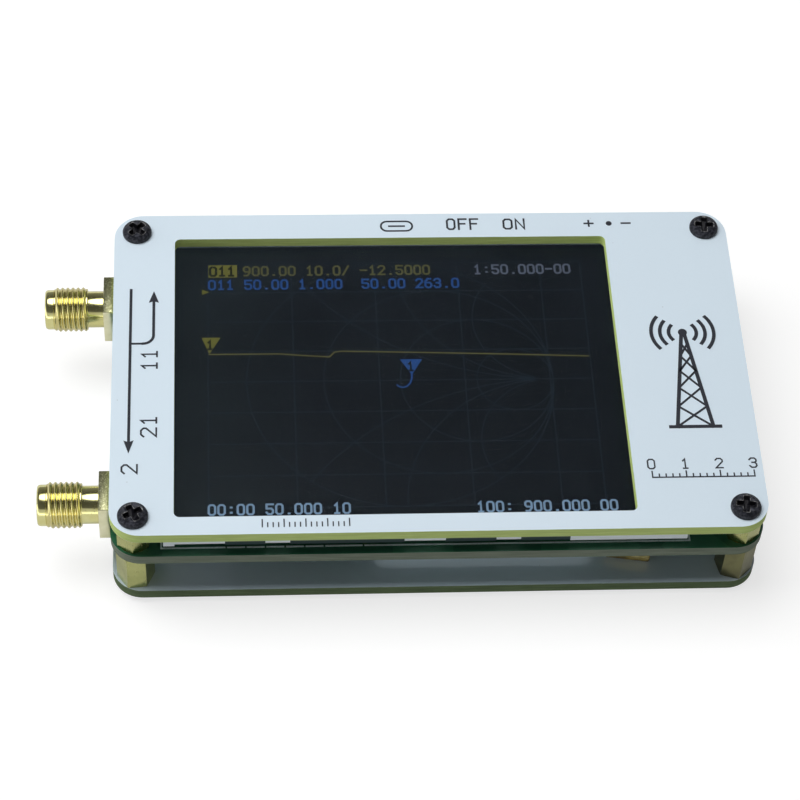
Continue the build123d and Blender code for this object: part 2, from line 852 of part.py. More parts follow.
processor = make_square_chip(processor_place, processor_side, processor_height, processor_legs, True)
save("processor_chip", group(processor))
save("codec_chip", hang(*codec_place, codec_side, codec_side, codec_height))
save("clock_chip", group(make_square_chip(clock_place, clock_side, clock_height, clock_legs, False)))
save("charger_chip", group(make_wide_chip((charger_x, rear_edge - charger_to_rear_edge))))

mixers = []
for mixer_y in (front_edge + mixer_to_front_edge, mixer_middle_y, rear_edge - mixer_to_rear_edge):
    mixers += make_wide_chip((mixer_x, mixer_y))
save("mixer_chips", group(mixers))

crystals = []
for crystal_place in crystal_places:
    crystals.append(hang(*crystal_place, crystal_length, crystal_width, crystal_height))
save("crystals", group(crystals))

inductor_y = rear_edge - inductor_to_rear_edge
save("charger_inductor", hang(mixer_x, inductor_y, inductor_side, inductor_side, inductor_height))

# The two lights sit side by side to the left of the lever switch
last_light_x = jog_x - jog_length / 2 - jog_leg_length - light_to_jog_leg
light_y = rear_edge - light_to_rear_edge
lights = []
for light_x in (last_light_x - light_pitch, last_light_x):
    lights.append(hang(light_x, light_y, light_length, light_width, light_height))
save("status_lights", group(lights))


def make_field(start, column_pitch, height):
    """Rows and columns of one small part, counted from the front left."""
    x, y = start
    parts = []
    for row in range(small_rows):
        for column in range(small_columns):
            place_xy = (x + column_pitch * column, y + row_pitch * row)
            parts.append(hang(*place_xy, small_length, small_width, height))
    return group(parts)


save("small_capacitors", make_field(capacitor_start, capacitor_pitch, capacitor_height))
save("small_resistors", make_field(resistor_start, resistor_pitch, resistor_height))

# Two tin cans screen the radio circuits beside the jacks
can_x = left_edge + can_to_left_edge
can_low = main_bottom - can_height
room = (can_length - 2 * can_wall, can_width - 2 * can_wall)
cans = []
for can_y in (jack_rear_y + can_offsets[0], jack_front_y + can_offsets[1]):
    can = hang(can_x, can_y, can_length, can_width, can_height)
    cans.append(can - block_at(can_x, can_y, *room, can_low + can_wall, main_bottom))
save("shield_cans", group(cans))
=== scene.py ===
"""Looks of the pocket antenna analyzer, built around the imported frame.

Metres in the frame's axes: +Z up out of the screen, -Y towards the user, +X to the user's right.
Places on the boards are written in millimetres from the boards' centre and go through on_board().
Every new piece is a skin over rings of points: ring after ring is worked out as a numpy array, and
neighbouring rings are joined by quads.
"""
import json
from math import cos, pi, radians, sin, tau

import bpy
import numpy as np
from mathutils import Matrix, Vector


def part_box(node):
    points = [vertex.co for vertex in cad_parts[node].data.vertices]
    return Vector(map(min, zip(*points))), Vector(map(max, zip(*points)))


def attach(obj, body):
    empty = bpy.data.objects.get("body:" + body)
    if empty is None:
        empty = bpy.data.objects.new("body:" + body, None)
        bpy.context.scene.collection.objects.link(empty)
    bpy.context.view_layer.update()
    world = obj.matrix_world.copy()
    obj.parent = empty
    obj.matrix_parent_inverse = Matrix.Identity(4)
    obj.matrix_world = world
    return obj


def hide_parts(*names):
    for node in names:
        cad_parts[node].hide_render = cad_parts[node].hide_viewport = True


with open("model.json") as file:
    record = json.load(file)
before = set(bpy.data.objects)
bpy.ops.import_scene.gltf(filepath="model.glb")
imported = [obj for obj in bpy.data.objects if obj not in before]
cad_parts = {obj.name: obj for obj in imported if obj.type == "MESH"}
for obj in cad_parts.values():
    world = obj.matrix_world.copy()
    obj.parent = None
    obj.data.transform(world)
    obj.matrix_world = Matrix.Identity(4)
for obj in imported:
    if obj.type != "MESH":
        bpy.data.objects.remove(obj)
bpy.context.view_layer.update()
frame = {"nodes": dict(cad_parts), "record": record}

MM = 0.001


def box_mm(node):
    """A node's lowest and highest corners in millimetres."""
    low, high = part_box(node)
    return np.array(low) / MM, np.array(high) / MM


# ---------------------------------------------------------------- places read from the frame
panel_low, panel_high = box_mm("front_panel")
main_low, main_high = box_mm("main_board")
back_low, back_high = box_mm("back_panel")
lcd_low, lcd_high = box_mm("lcd_frame")
glass_low, glass_high = box_mm("lcd_glass")
touch_low, touch_high = box_mm("touch_glass")
centre = np.array([*(panel_low[:2] + panel_high[:2]) / 2, 0.0])
board_length, board_width = panel_high[:2] - panel_low[:2]
panel_top = panel_high[2]
left_edge = -board_length / 2
rear_edge = board_width / 2
front_edge = -board_width / 2

# ---------------------------------------------------------------- camera
sensor_width = 36.0
focal_pixels = 2666.35
image_pixels = 800
camera_place = (-26.357, -219.902, 281.705)
camera_right = (0.99800, -0.04723, 0.04210)
camera_down = (-0.01225, -0.79708, -0.60374)
camera_forward = (0.06207, 0.60202, -0.79607)
picture_centre = (401.13, 406.47)


def make_camera():
    """The camera looks down on the front edge from a little to the left."""
    data = bpy.data.cameras.new("camera")
    data.sensor_width = sensor_width
    data.lens = focal_pixels / image_pixels * sensor_width
    data.shift_x = (image_pixels / 2 - picture_centre[0]) / image_pixels
    data.shift_y = (picture_centre[1] - image_pixels / 2) / image_pixels
    data.clip_start = 0.01
    camera = bpy.data.objects.new("camera", data)
    bpy.context.scene.collection.objects.link(camera)
    turn = np.column_stack([camera_right, -np.array(camera_down), -np.array(camera_forward)])
    matrix = Matrix(turn.tolist()).to_4x4()
    matrix.translation = (camera_place + centre + (0, 0, panel_top)) * MM
    camera.matrix_world = matrix
    bpy.context.scene.camera = camera


# ---------------------------------------------------------------- node helpers
class Nodes:
    """A short way to write a node tree: each call adds one node. Colours are written without alpha."""

    def __init__(self, tree, shader=None):
        self.tree = tree
        self.shader = shader

    def add(self, kind, inputs=(), **settings):
        """Add a node, set its properties, feed its inputs, given as {socket: value}, and give its outputs."""
        node = self.tree.nodes.new(kind)
        for key, value in settings.items():
            setattr(node, key, value)
        for key, value in dict(inputs).items():
            self.feed(node.inputs[key], value)
        return node.outputs

    def feed(self, socket, value):
        """Link an output to a socket, or set the socket's value."""
        if isinstance(value, bpy.types.NodeSocket):
            self.tree.links.new(value, socket)
        else:
            socket.default_value = (*value, 1.0) if socket.type == "RGBA" else value

    def shade(self, **values):
        """Feed the inputs of the material's shader; an underscore in a name stands for a space."""
        for name, value in values.items():
            self.feed(self.shader[name.replace("_", " ")], value)

    def math(self, operation, first, second=0.0, **settings):
        """A Math node."""
        return self.add("ShaderNodeMath", {0: first, 1: second}, operation=operation, **settings)[0]

    def linear(self, value, factor, base):
        """A value times a factor, plus a base."""
        return self.math("ADD", self.math("MULTIPLY", value, factor), base)

    def span(self, value, start, end, low=0.0, high=1.0):
        """How far a value is on its way from start to end, as a number from low to high."""
        return self.add("ShaderNodeMapRange", {0: value, 1: start, 2: end, 3: low, 4: high})[0]

    def colour_math(self, operation, first, second):
        """Two colours joined channel by channel."""
        return self.add("ShaderNodeVectorMath", {0: first, 1: second}, operation=operation)[0]

    def scale(self, colour, factor):
        """A colour times a factor."""
        return self.colour_math("MULTIPLY", colour, factor)

    def mix(self, mask, low, high):
        """Mix two colours by a mask. The Mix node takes colours in sockets 6 and 7, and gives one in 2."""
        return self.add("ShaderNodeMix", {0: mask, 6: low, 7: high}, data_type="RGBA")[2]

    def ramp(self, value, *stops):
        """A colour ramp: each stop is a position and a colour."""
        node = self.tree.nodes.new("ShaderNodeValToRGB")
        elements = node.color_ramp.elements
        while len(elements) < len(stops):
            elements.new(0.5)
        for element, (position, colour) in zip(elements, stops):
            element.position = position
            element.color = (*colour, 1.0)
        self.feed(node.inputs[0], value)
        return node.outputs[0]

    def place(self, kind="Object"):
        """Object coordinates, or another kind."""
        return self.add("ShaderNodeTexCoord")[kind]

    def split(self, vector):
        """The three parts of a vector."""
        return self.add("ShaderNodeSeparateXYZ", {0: vector})

    def noise(self, scale, detail=2.0, stretch=None, turn=(0.0, 0.0, 0.0)):
        """Noise value on object coordinates, scale per metre, which a Mapping node may stretch and turn."""
        place = self.place()
        if stretch:
            place = self.add("ShaderNodeMapping", {"Vector": place, "Scale": stretch, "Rotation": turn})[0]
        return self.add("ShaderNodeTexNoise", {"Vector": place, "Scale": scale, "Detail": detail})[0]

    def cells(self, scale, **settings):
        """Voronoi cells on object coordinates: the distances from their middles, and a number for each."""
        cells = self.add("ShaderNodeTexVoronoi", {"Vector": self.place(), "Scale": scale}, **settings)
        return cells["Distance"], self.split(cells["Color"])[0]

    def ray(self, kind):
        """1 for rays of one kind: Camera, Glossy or Transmission."""
        return self.add("ShaderNodeLightPath")[f"Is {kind} Ray"]

    def bump(self, height, strength, depth):
        """A Bump node's normal; depth in millimetres."""
        return self.add("ShaderNodeBump", {"Height": height, "Strength": strength, "Distance": depth * MM})[0]

    def group(self, group, out=0, **inputs):
        """Place a shared group."""
        inputs = {name.replace("_", " "): value for name, value in inputs.items()}
        return self.add("ShaderNodeGroup", inputs, node_tree=group)[out]


def grey(value):
    """A neutral colour."""
    return (value, value, value)


def new_group(name, inputs, outputs):
    """An empty shader group; inputs and outputs are given as {name: Float or Color}."""
    group = bpy.data.node_groups.new(name, "ShaderNodeTree")
    for way, sockets in (("INPUT", inputs), ("OUTPUT", outputs)):
        for socket, kind in sockets.items():
            group.interface.new_socket(name=socket, in_out=way, socket_type="NodeSocket" + kind)
    enter = group.nodes.new("NodeGroupInput").outputs
    leave = group.nodes.new("NodeGroupOutput").inputs
    return group, Nodes(group), enter, leave


def make_mottle_group():
    """Slow colour drift plus fine grain: a colour is lightened and darkened a little over the surface."""
    group, tree, enter, leave = new_group(
        "mottle", {"Colour": "Color", "Drift": "Float", "Grain": "Float", "Grain Scale": "Float"},
        {"Colour": "Color", "Height": "Float"}
    )
    slow = tree.math("SUBTRACT", tree.noise(60.0), 0.5)
    fine = tree.math("SUBTRACT", tree.noise(enter["Grain Scale"], 3.0), 0.5)
    drift = tree.math("MULTIPLY", slow, enter["Drift"])
    grain = tree.math("MULTIPLY", fine, enter["Grain"])
    factor = tree.math("ADD", tree.math("ADD", drift, grain), 1.0)
    tree.feed(leave["Colour"], tree.scale(enter["Colour"], factor))
    tree.feed(leave["Height"], fine)
    return group


def make_rub_group():
    """Rub marks: streaks that wander over a surface, as a mask from 0 to 1."""
    group, tree, enter, leave = new_group("rub", {"Scale": "Float", "Amount": "Float"}, {"Mask": "Float"})
    streak = tree.noise(enter["Scale"], 4.0, stretch=(1.0, 0.12, 0.4), turn=(0.3, 0.2, 0.7))
    patch = tree.noise(140.0)
    mask = tree.math("MULTIPLY", tree.math("SUBTRACT", streak, 0.52), tree.math("MULTIPLY", patch, 9.0))
    tree.feed(leave["Mask"], tree.math("MULTIPLY", mask, enter["Amount"], use_clamp=True))
    return group


def make_dust_group():
    """Sparse specks of dust and tiny pits, as a mask from 0 to 1."""
    group, tree, enter, leave = new_group("dust", {"Scale": "Float", "Size": "Float"}, {"Mask": "Float"})
    distance, chance = tree.cells(enter["Scale"])
    near = tree.math("LESS_THAN", distance, enter["Size"])
    rare = tree.math("GREATER_THAN", chance, 0.9)
    tree.feed(leave["Mask"], tree.math("MULTIPLY", near, rare))
    return group


mottle = make_mottle_group()
rub = make_rub_group()
dust = make_dust_group()

# ---------------------------------------------------------------- finishes
materials = {}


def new_material(name):
    """A material's node tree, with its Principled shader."""
    material = bpy.data.materials.new(name)
    material.use_nodes = True
    materials[name] = material
    return Nodes(material.node_tree, material.node_tree.nodes["Principled BSDF"].inputs)


def plain_finish(name, colour, roughness, grain=0.06, scale=4000.0, depth=0.02, **more):
    """A finish with slow drift, fine grain and a matching slight bump; depth in millimetres."""
    tree = new_material(name)
    inputs = {"Colour": colour, "Drift": 0.10, "Grain": grain, "Grain_Scale": scale}
    height = tree.group(mottle, "Height", **inputs)
    worn = tree.group(rub, Scale=scale / 4, Amount=0.5)
    tree.shade(
        Base_Color=tree.group(mottle, **inputs), Roughness=tree.linear(worn, 0.12, roughness),
        Normal=tree.bump(height, 0.25, depth), **more
    )


def board_sides(tree, low, high, depth, *edge_stops):
    """A mask of a board's two faces to a depth in millimetres, and its cut edge's colour: layers of cloth."""
    z = tree.split(tree.place())[2]
    offset = tree.math("ABSOLUTE", tree.math("SUBTRACT", z, (high[2] + low[2]) / 2 * MM))
    is_face = tree.math("GREATER_THAN", offset, (high[2] - low[2]) / 2 * MM - depth * MM)
    return is_face, tree.ramp(tree.noise(900.0, 3.0, stretch=(0.25, 0.25, 6.0)), *edge_stops)


def make_board_finish(name, low, high, face, edge_light, edge_dark, roughness, coat=0.0, **more):
    """Solder mask on both faces and a bare cut edge: the edge shows the glass-cloth layers, and no coat."""
    tree = new_material(name)
    is_face, edge = board_sides(tree, low, high, 0.012, (0.30, edge_dark), (0.68, edge_light))
    skin = tree.group(mottle, Colour=face, Drift=0.03, Grain=0.02, Grain_Scale=2500.0)
    specks = tree.group(dust, Scale=700.0, Size=0.06)
    skin = tree.mix(tree.math("MULTIPLY", specks, 0.35), skin, grey(0.25))
    height = tree.linear(tree.noise(5000.0), 0.12, tree.noise(180.0))
    worn = tree.group(rub, Scale=700.0, Amount=0.4)
    edge_rough = 0.8
    gloss = tree.math("SUBTRACT", tree.linear(worn, 0.15, roughness), edge_rough)
    tree.shade(
        Base_Color=tree.mix(is_face, edge, skin), Roughness=tree.linear(is_face, gloss, edge_rough),
        Normal=tree.bump(height, 0.15, 0.03), **more
    )
    if coat:
        tree.shade(Coat_Weight=tree.math("MULTIPLY", is_face, coat))


def make_main_board_finish():
    """Green mask with wide copper pours just visible under it, over a grey-green cut edge."""
    tree = new_material("green_mask")
    edge_stops = (0.3, (0.13, 0.16, 0.115)), (0.7, (0.21, 0.25, 0.19))
    is_face, edge = board_sides(tree, main_low, main_high, 0.035, *edge_stops)
    pour = tree.math("GREATER_THAN", tree.cells(130.0, distance="CHEBYCHEV")[1], 0.4)
    mask = tree.mix(pour, (0.021, 0.098, 0.050), (0.027, 0.125, 0.062))
    mask = tree.group(mottle, Colour=mask, Drift=0.3, Grain=0.05, Grain_Scale=3000.0)
    mask = tree.mix(tree.group(dust, Scale=600.0, Size=0.18), mask, (0.05, 0.12, 0.05))
    height = tree.linear(tree.noise(2500.0), 0.2, pour)
    face_rough, edge_rough = 0.20, 0.75
    rough = tree.linear(is_face, face_rough - edge_rough, edge_rough)
    tree.shade(
        Base_Color=tree.mix(is_face, edge, mask), Roughness=rough, Normal=tree.bump(height, 0.3, 0.03)
    )


def make_metal_finish(name, light, dark, roughness, streak=0.1):
    """Plated or turned metal: tarnish drifts between two tones, with rub marks and fine pits."""
    tree = new_material(name)
    tarnish = tree.ramp(tree.noise(350.0, 3.0), (0.35, dark), (0.65, light))
    worn = tree.group(rub, Scale=1400.0, Amount=1.0)
    specks = tree.group(dust, Scale=2600.0, Size=0.22)
    colour = tree.mix(tree.math("MULTIPLY", specks, 0.5), tarnish, grey(0.12))
    height = tree.linear(worn, 0.3, tree.noise(5000.0, 3.0))
    tree.shade(
        Base_Color=colour, Metallic=1.0, Roughness=tree.linear(worn, streak, roughness),
        Normal=tree.bump(height, 0.1, 0.01)
    )


def make_screw_finish():
    """Blued steel: nearly black, with a sandy crust whose high spots shine; the recess's edge is painted
    lighter, partly wear and partly a painted highlight.
    """
    tree = new_material("black_steel")
    crust = tree.noise(2600.0, 4.0)
    tree.shade(
        Base_Color=tree.ramp(crust, (0.44, (0.007, 0.008, 0.012)), (0.68, (0.050, 0.052, 0.066))),
        Roughness=tree.ramp(tree.noise(1500.0), (0.35, grey(0.34)), (0.65, grey(0.60))),
        Specular_IOR_Level=0.25, Normal=tree.bump(crust, 0.8, 0.05)
    )
    # A lighter, patchy ring round the recess's edge: partly wear, partly a painted highlight
    tree = new_material("rubbed_and_highlit_edge")
    wear = tree.ramp(tree.noise(1900.0), (0.46, grey(0.02)), (0.62, grey(0.26)))
    tree.shade(Base_Color=wear, Roughness=0.45, Normal=tree.bump(tree.noise(4000.0), 0.3, 0.02))


def make_flange_finish():
    """Gold flash on a flange: the upper face is painted darker than the others, as painted shade, with bright
    grains on it.
    """
    tree = new_material("flange_gold")
    grain = tree.cells(7500.0)[1]
    # Painted shade: faces that look up take the dark, grainy colour, and the other faces take the bright one
    upper = tree.math("GREATER_THAN", tree.split(tree.place("Normal"))[2], 0.6)
    dull = tree.ramp(grain, (0.0, (0.27, 0.27, 0.15)), (0.7, (0.36, 0.36, 0.20)), (1.0, (0.70, 0.69, 0.44)))
    bright = tree.ramp(tree.noise(900.0, 3.0), (0.3, (0.86, 0.84, 0.54)), (0.7, (0.96, 0.94, 0.66)))
    height = tree.linear(grain, upper, tree.noise(2500.0, 3.0))
    tree.shade(
        Base_Color=tree.mix(upper, bright, dull), Metallic=1.0, Roughness=0.30,
        Normal=tree.bump(height, 0.4, 0.02)
    )


def make_pouch_finish():
    """Laminated aluminium pouch: bright, with soft creases."""
    tree = new_material("pouch")
    crease = tree.noise(450.0, 4.0, stretch=(1.0, 0.35, 1.0))
    shade = tree.ramp(crease, (0.3, (0.84, 0.93, 0.99)), (0.7, (0.92, 0.98, 1.00)))
    tree.shade(Base_Color=shade, Metallic=0.05, Roughness=0.35, Normal=tree.bump(crease, 0.5, 0.15))


def make_film_finish():
    """Amber film wrapped by hand: brown where it lies double, and pale over its wrinkles, a painted
    highlight.
    """
    tree = new_material("polyimide")
    wrinkle = tree.noise(420.0, 3.0, stretch=(1.0, 0.5, 2.2))
    # The pale end of the ramp is a painted highlight; the brown end is film lying double
    shade = tree.ramp(wrinkle, (0.38, (0.11, 0.080, 0.022)), (0.55, (0.30, 0.23, 0.060)),
                      (0.68, (0.58, 0.52, 0.24)))
    tree.shade(Base_Color=shade, Roughness=0.2, Coat_Weight=0.4, Normal=tree.bump(wrinkle, 0.6, 0.2))


def make_print_finish(name, colour):
    """Screen-printed ink: thin spots where the ink ran out."""
    tree = new_material(name)
    thin = tree.ramp(tree.noise(7000.0, 3.0), (0.25, grey(0.55)), (0.45, grey(1.0)))
    tree.shade(
        Base_Color=tree.scale(colour, thin), Roughness=0.55, Normal=tree.bump(tree.noise(6000.0), 0.3, 0.01)
    )


# ---------------------------------------------------------------- screen layout and finishes
# Columns and rows are the screen's pixels, counted from the plot's upper left corner
pixel = 0.1784
plot_left = -29.954
plot_top = 19.991
plot_columns = 291
plot_rows = 233
row_step = 29
column_step = 64.7
# How much the screen glass and its lit marks mirror
mirror_level = 0.05


def make_lit_finish(name, colour):
    """Lit screen marks: the light is broken up by the screen's pixel rows."""
    tree = new_material(name)
    y = tree.split(tree.place())[1]
    rows = tree.math("FRACT", tree.math("DIVIDE", y, pixel * MM))
    bright = tree.ramp(rows, (0.0, grey(0.72)), (0.12, grey(1.0)), (0.88, grey(1.0)), (1.0, grey(0.72)))
    patchy = tree.ramp(tree.noise(400.0), (0.3, grey(0.85)), (0.7, grey(1.0)))
    tree.shade(
        Base_Color=grey(0.004), Roughness=0.6, Specular_IOR_Level=mirror_level,
        Emission_Color=tree.scale(tree.scale(colour, bright), patchy), Emission_Strength=1.0
    )


def make_screen_finish():
    """Dark liquid-crystal glass: backlight leaks through in soft clouds, and the glow is painted brighter
    towards the left and rear, a painted reflection.
    """
    tree = new_material("screen_glass")
    x, y, _ = tree.split(tree.place())
    low, high = glass_low * MM, glass_high * MM
    across = tree.math("DIVIDE", tree.math("SUBTRACT", x, low[0]), high[0] - low[0])
    # Backlight leak, painted brighter towards the left and, below, towards the rear: painted reflection
    leak_and_painted_glow = tree.ramp(across, (0.0, (0.0076, 0.0108, 0.0125)), (0.30, (0.0058, 0.0074, 0.0098)),
                     (0.75, (0.0050, 0.0064, 0.0084)), (1.0, (0.0048, 0.0064, 0.0086)))
    clouds = tree.ramp(tree.noise(70.0), (0.3, grey(0.8)), (0.7, grey(1.15)))
    rear = tree.span(y, 0.0, high[1], 1.0, 1.5)
    tree.shade(
        Base_Color=(0.003, 0.004, 0.005), Roughness=tree.linear(tree.noise(900.0), 0.1, 0.2),
        Emission_Color=tree.scale(tree.scale(leak_and_painted_glow, clouds), rear), Emission_Strength=1.0,
        Specular_IOR_Level=mirror_level
    )


def make_touch_finish():
    """Clear touch layer with a faint grey cast and an anti-glare face, which mirrors little."""
    tree = new_material("touch_glass")
    smear = tree.noise(120.0, 3.0)
    tint = tree.mix(smear, (0.96, 0.98, 0.98), (0.90, 0.94, 0.95))
    tree.shade(
        Base_Color=tint, Roughness=tree.linear(smear, 0.06, 0.02), Transmission_Weight=1.0, IOR=1.12,
        Specular_IOR_Level=0.12
    )


# The light of each colour on the screen
lit_colours = {
    "lit_yellow": (0.122, 0.120, 0.028),
    "lit_trace": (0.118, 0.110, 0.038),
    "lit_blue": (0.016, 0.060, 0.215),
    "lit_pale": (0.180, 0.275, 0.400),
    "lit_faint": (0.085, 0.100, 0.140),
    "lit_olive": (0.080, 0.080, 0.032),
    "lit_grid": (0.008, 0.014, 0.022),
    "lit_off": (0.006, 0.009, 0.008),
}


def make_materials():
    """Every finish of the part."""
    make_board_finish(
        "white_mask", panel_low, panel_high, (0.70, 0.815, 0.905), (0.65, 0.79, 0.28), (0.51, 0.65, 0.195),
        0.32
    )
    # The back panel's cut edge is painted far darker than the front panel's: painted shade near the floor
    make_board_finish(
        "back_mask_shaded_edge", back_low, back_high, (0.65, 0.775, 0.87), (0.118, 0.175, 0.078),
        (0.070, 0.109, 0.046), 0.13, coat=1.0, Coat_IOR=2.1
    )
    make_main_board_finish()
    make_metal_finish("brass", (0.55, 0.56, 0.235), (0.43, 0.45, 0.17), 0.22)
    # A darker copy of the brass: painted shade for the lower standoff that stands in shadow
    make_metal_finish("shaded_brass", (0.215, 0.21, 0.10), (0.145, 0.14, 0.07), 0.33)
    make_metal_finish("gold_plate", (0.90, 0.87, 0.43), (0.81, 0.76, 0.33), 0.14, streak=0.06)
    # The thread's gold is a darker, more amber copy of the plating: painted shade between the teeth
    make_metal_finish("shaded_thread_gold", (0.80, 0.73, 0.33), (0.70, 0.62, 0.25), 0.16, streak=0.06)
    make_flange_finish()
    make_metal_finish("steel", (0.74, 0.75, 0.76), (0.58, 0.59, 0.60), 0.32)
    make_metal_finish("copper_pad", (0.70, 0.64, 0.36), (0.58, 0.52, 0.27), 0.15)
    make_screw_finish()
    # The cross recess is painted near black: painted shade in the hollow
    plain_finish("shaded_recess", (0.008, 0.008, 0.011), 0.5, grain=0.6, scale=2600.0,
                 Specular_IOR_Level=0.3)
    plain_finish("white_dielectric", (0.88, 0.88, 0.85), 0.45)
    plain_finish("screen_frame", (0.90, 0.98, 1.00), 0.45)
    plain_finish("screen_white", (0.9, 0.9, 0.9), 0.5)
    plain_finish("black_tape", (0.029, 0.054, 0.056), 0.42, Specular_IOR_Level=0.3)
    plain_finish("foam", (0.04, 0.04, 0.04), 0.95, grain=0.5, scale=2500.0, depth=0.15)
    plain_finish("black_plastic", (0.028, 0.028, 0.030), 0.42, grain=0.2, depth=0.04)
    plain_finish("lever_plastic", (0.032, 0.032, 0.035), 0.48, grain=0.25, depth=0.04)
    plain_finish("adhesive", (0.82, 0.82, 0.78), 0.9)
    plain_finish("red_insulation", (0.55, 0.02, 0.015), 0.35)
    plain_finish("black_insulation", (0.02, 0.02, 0.02), 0.35)
    plain_finish("cream_plastic", (0.80, 0.76, 0.64), 0.45)
    plain_finish("chip_epoxy", (0.030, 0.030, 0.033), 0.6, grain=0.3, depth=0.03)
    plain_finish("capacitor", (0.42, 0.29, 0.17), 0.5, grain=0.2)
    plain_finish("resistor", (0.03, 0.03, 0.035), 0.35)
    plain_finish("light", (0.75, 0.85, 0.72), 0.2)
    make_pouch_finish()
    make_film_finish()
    make_print_finish("black_ink", (0.012, 0.014, 0.022))
    make_print_finish("white_ink", (0.68, 0.80, 0.77))
    make_screen_finish()
    make_touch_finish()
    for name, colour in lit_colours.items():
        make_lit_finish(name, colour)


# ---------------------------------------------------------------- mesh helpers
def on_board(points):
    """Millimetres from the boards' centre, with z from the floor, to metres in the frame."""
    return (np.asarray(points, float) + centre) * MM


class Skin:
    """Collects rings of points into one mesh. A part of it is a stack of rings with capped ends."""

    def __init__(self):
        self.points = []
        self.faces = []
        self.marks = []
        self.rounds = []
        self.count = 0

    def stack(self, rings, mark=0, loop=False, bands=()):
        """Join ring after ring by quads. Both ends get a cap, or loop joins the last ring to the first.

        Each of bands is (first ring, last ring, mark); one that starts at ring 0 marks the first cap too."""
        rings = np.asarray(rings, float)
        rows, width = rings.shape[:2]
        index = np.arange(rows * width).reshape(rows, width)
        upper = np.roll(index, -1, 0) if loop else index[1:]
        lower = index if loop else index[:-1]
        quads = np.stack([lower, np.roll(lower, -1, 1), np.roll(upper, -1, 1), upper], -1).reshape(-1, 4)
        faces = quads.tolist()
        flat = rings.reshape(-1, 3)
        middle = flat.mean(0)
        corner = flat[quads] - middle
        # Six times the volume, taken about the middle: it is negative where the faces are inside out
        volume = (corner[:, 0] * np.cross(corner[:, 1], corner[:, 2])).sum()
        volume += (corner[:, 0] * np.cross(corner[:, 2], corner[:, 3])).sum()
        if not loop:
            faces += [index[0][::-1].tolist(), index[-1].tolist()]
            for cap, sign in ((rings[0], -1), (rings[-1], 1)):
                wheel = cap - middle
                volume += sign * (np.cross(wheel, np.roll(wheel, -1, 0)) @ wheel.mean(0)).sum()
        if volume < 0:
            faces = [face[::-1] for face in faces]
        self.faces += [[i + self.count for i in face] for face in faces]
        marks = np.full(len(faces), mark)
        for first, last, band_mark in bands:
            marks[first * width:last * width] = band_mark
            if first == 0:
                marks[-2] = band_mark
        self.marks += marks.tolist()
        self.rounds += [True] * len(quads) + [False] * (len(faces) - len(quads))
        self.points.append(flat)
        self.count += len(flat)
        return self

    def make(self, name, slot, finishes, replaces=(), smooth=35.0):
        """The finished mesh object, riding on the housing; points are in board millimetres."""
        mesh = bpy.data.meshes.new(name)
        mesh.from_pydata(on_board(np.vstack(self.points)).tolist(), [], self.faces)
        for finish in finishes:
            mesh.materials.append(materials[finish])
        mesh.polygons.foreach_set("material_index", self.marks)
        mesh.update()
        mesh.set_sharp_from_angle(angle=radians(smooth))
        mesh.polygons.foreach_set("use_smooth", self.rounds)
        piece = bpy.data.objects.new(name, mesh)
        bpy.context.scene.collection.objects.link(piece)
        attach(piece, "housing")
        if replaces:
            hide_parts(*replaces)


def middle_of(low, high):
    """The middle of a box along X and Y, from the boards' centre."""
    return ((low + high) / 2 - centre)[:2]


def around(angle):
    """Points of the unit circle: the cosine and sine of each angle."""
    return np.stack([np.cos(angle), np.sin(angle)], -1)


def circle(radius, count):
    """A ring of points on a circle, counter-clockwise."""
    return radius * around(np.arange(count) * tau / count)


def rounded_rectangle(length, width, corner, steps=5):
    """A rectangle about the origin whose four corners are arcs."""
    corner = max(corner, 1e-4)
    arc = corner * around(np.linspace(0, pi / 2, steps))
    ring = []
    for quarter, (sx, sy) in enumerate(((1, 1), (-1, 1), (-1, -1), (1, -1))):
        turn = quarter * pi / 2
        spin = np.array([[cos(turn), sin(turn)], [-sin(turn), cos(turn)]])
        ring.append(arc @ spin + (sx * (length / 2 - corner), sy * (width / 2 - corner)))
    return np.vstack(ring)


def lift(ring, z):
    """A flat ring raised to a level."""
    return np.column_stack([ring, np.full(len(ring), z)])


def soft_block(length, width, corner, z_low, z_high, bevel, steps=3):
    """Rings of a rounded block whose upper and lower edges follow a quarter circle of radius bevel."""
    angle = np.linspace(0, pi / 2, steps)
    rise = bevel * (1 - np.cos(angle))
    inset = bevel * (1 - np.sin(angle))
    levels = np.concatenate([z_low + rise, (z_high - rise)[::-1]])
    insets = np.concatenate([inset, inset[::-1]])
    rings = []
    for level, cut in zip(levels, insets):
        rings.append(lift(rounded_rectangle(length - 2 * cut, width - 2 * cut, corner - cut), level))
    return np.array(rings)


def lathe(profile, count=64):
    """Rings about Z from a profile of (radius, z) pairs."""
    turn = circle(1.0, count)
    return np.array([lift(max(radius, 1e-4) * turn, z) for radius, z in profile])


def shift(rings, x=0.0, y=0.0, z=0.0):
    """Rings moved by x, y, z."""
    return np.asarray(rings, float) + (x, y, z)


def turned(rings, degrees):
    """Rings turned about Z."""
    a = radians(degrees)
    spin = np.array([[cos(a), sin(a), 0], [-sin(a), cos(a), 0], [0, 0, 1]])
    return np.asarray(rings, float) @ spin


def to_left(rings):
    """Rings built along +Z laid along -X: x becomes y and y becomes z."""
    rings = np.asarray(rings, float)
    return np.stack([-rings[..., 2], -rings[..., 0], rings[..., 1]], -1)


# ---------------------------------------------------------------- flat printing
ink_height = 0.03
ink_sunk = 0.02
stroke_lift = 0.002
stroke_lifts = 8
mitre_limit = 0.45


def unit(vectors):
    """Flat vectors brought to length 1."""
    return vectors / np.hypot(vectors[:, 0], vectors[:, 1])[:, None]


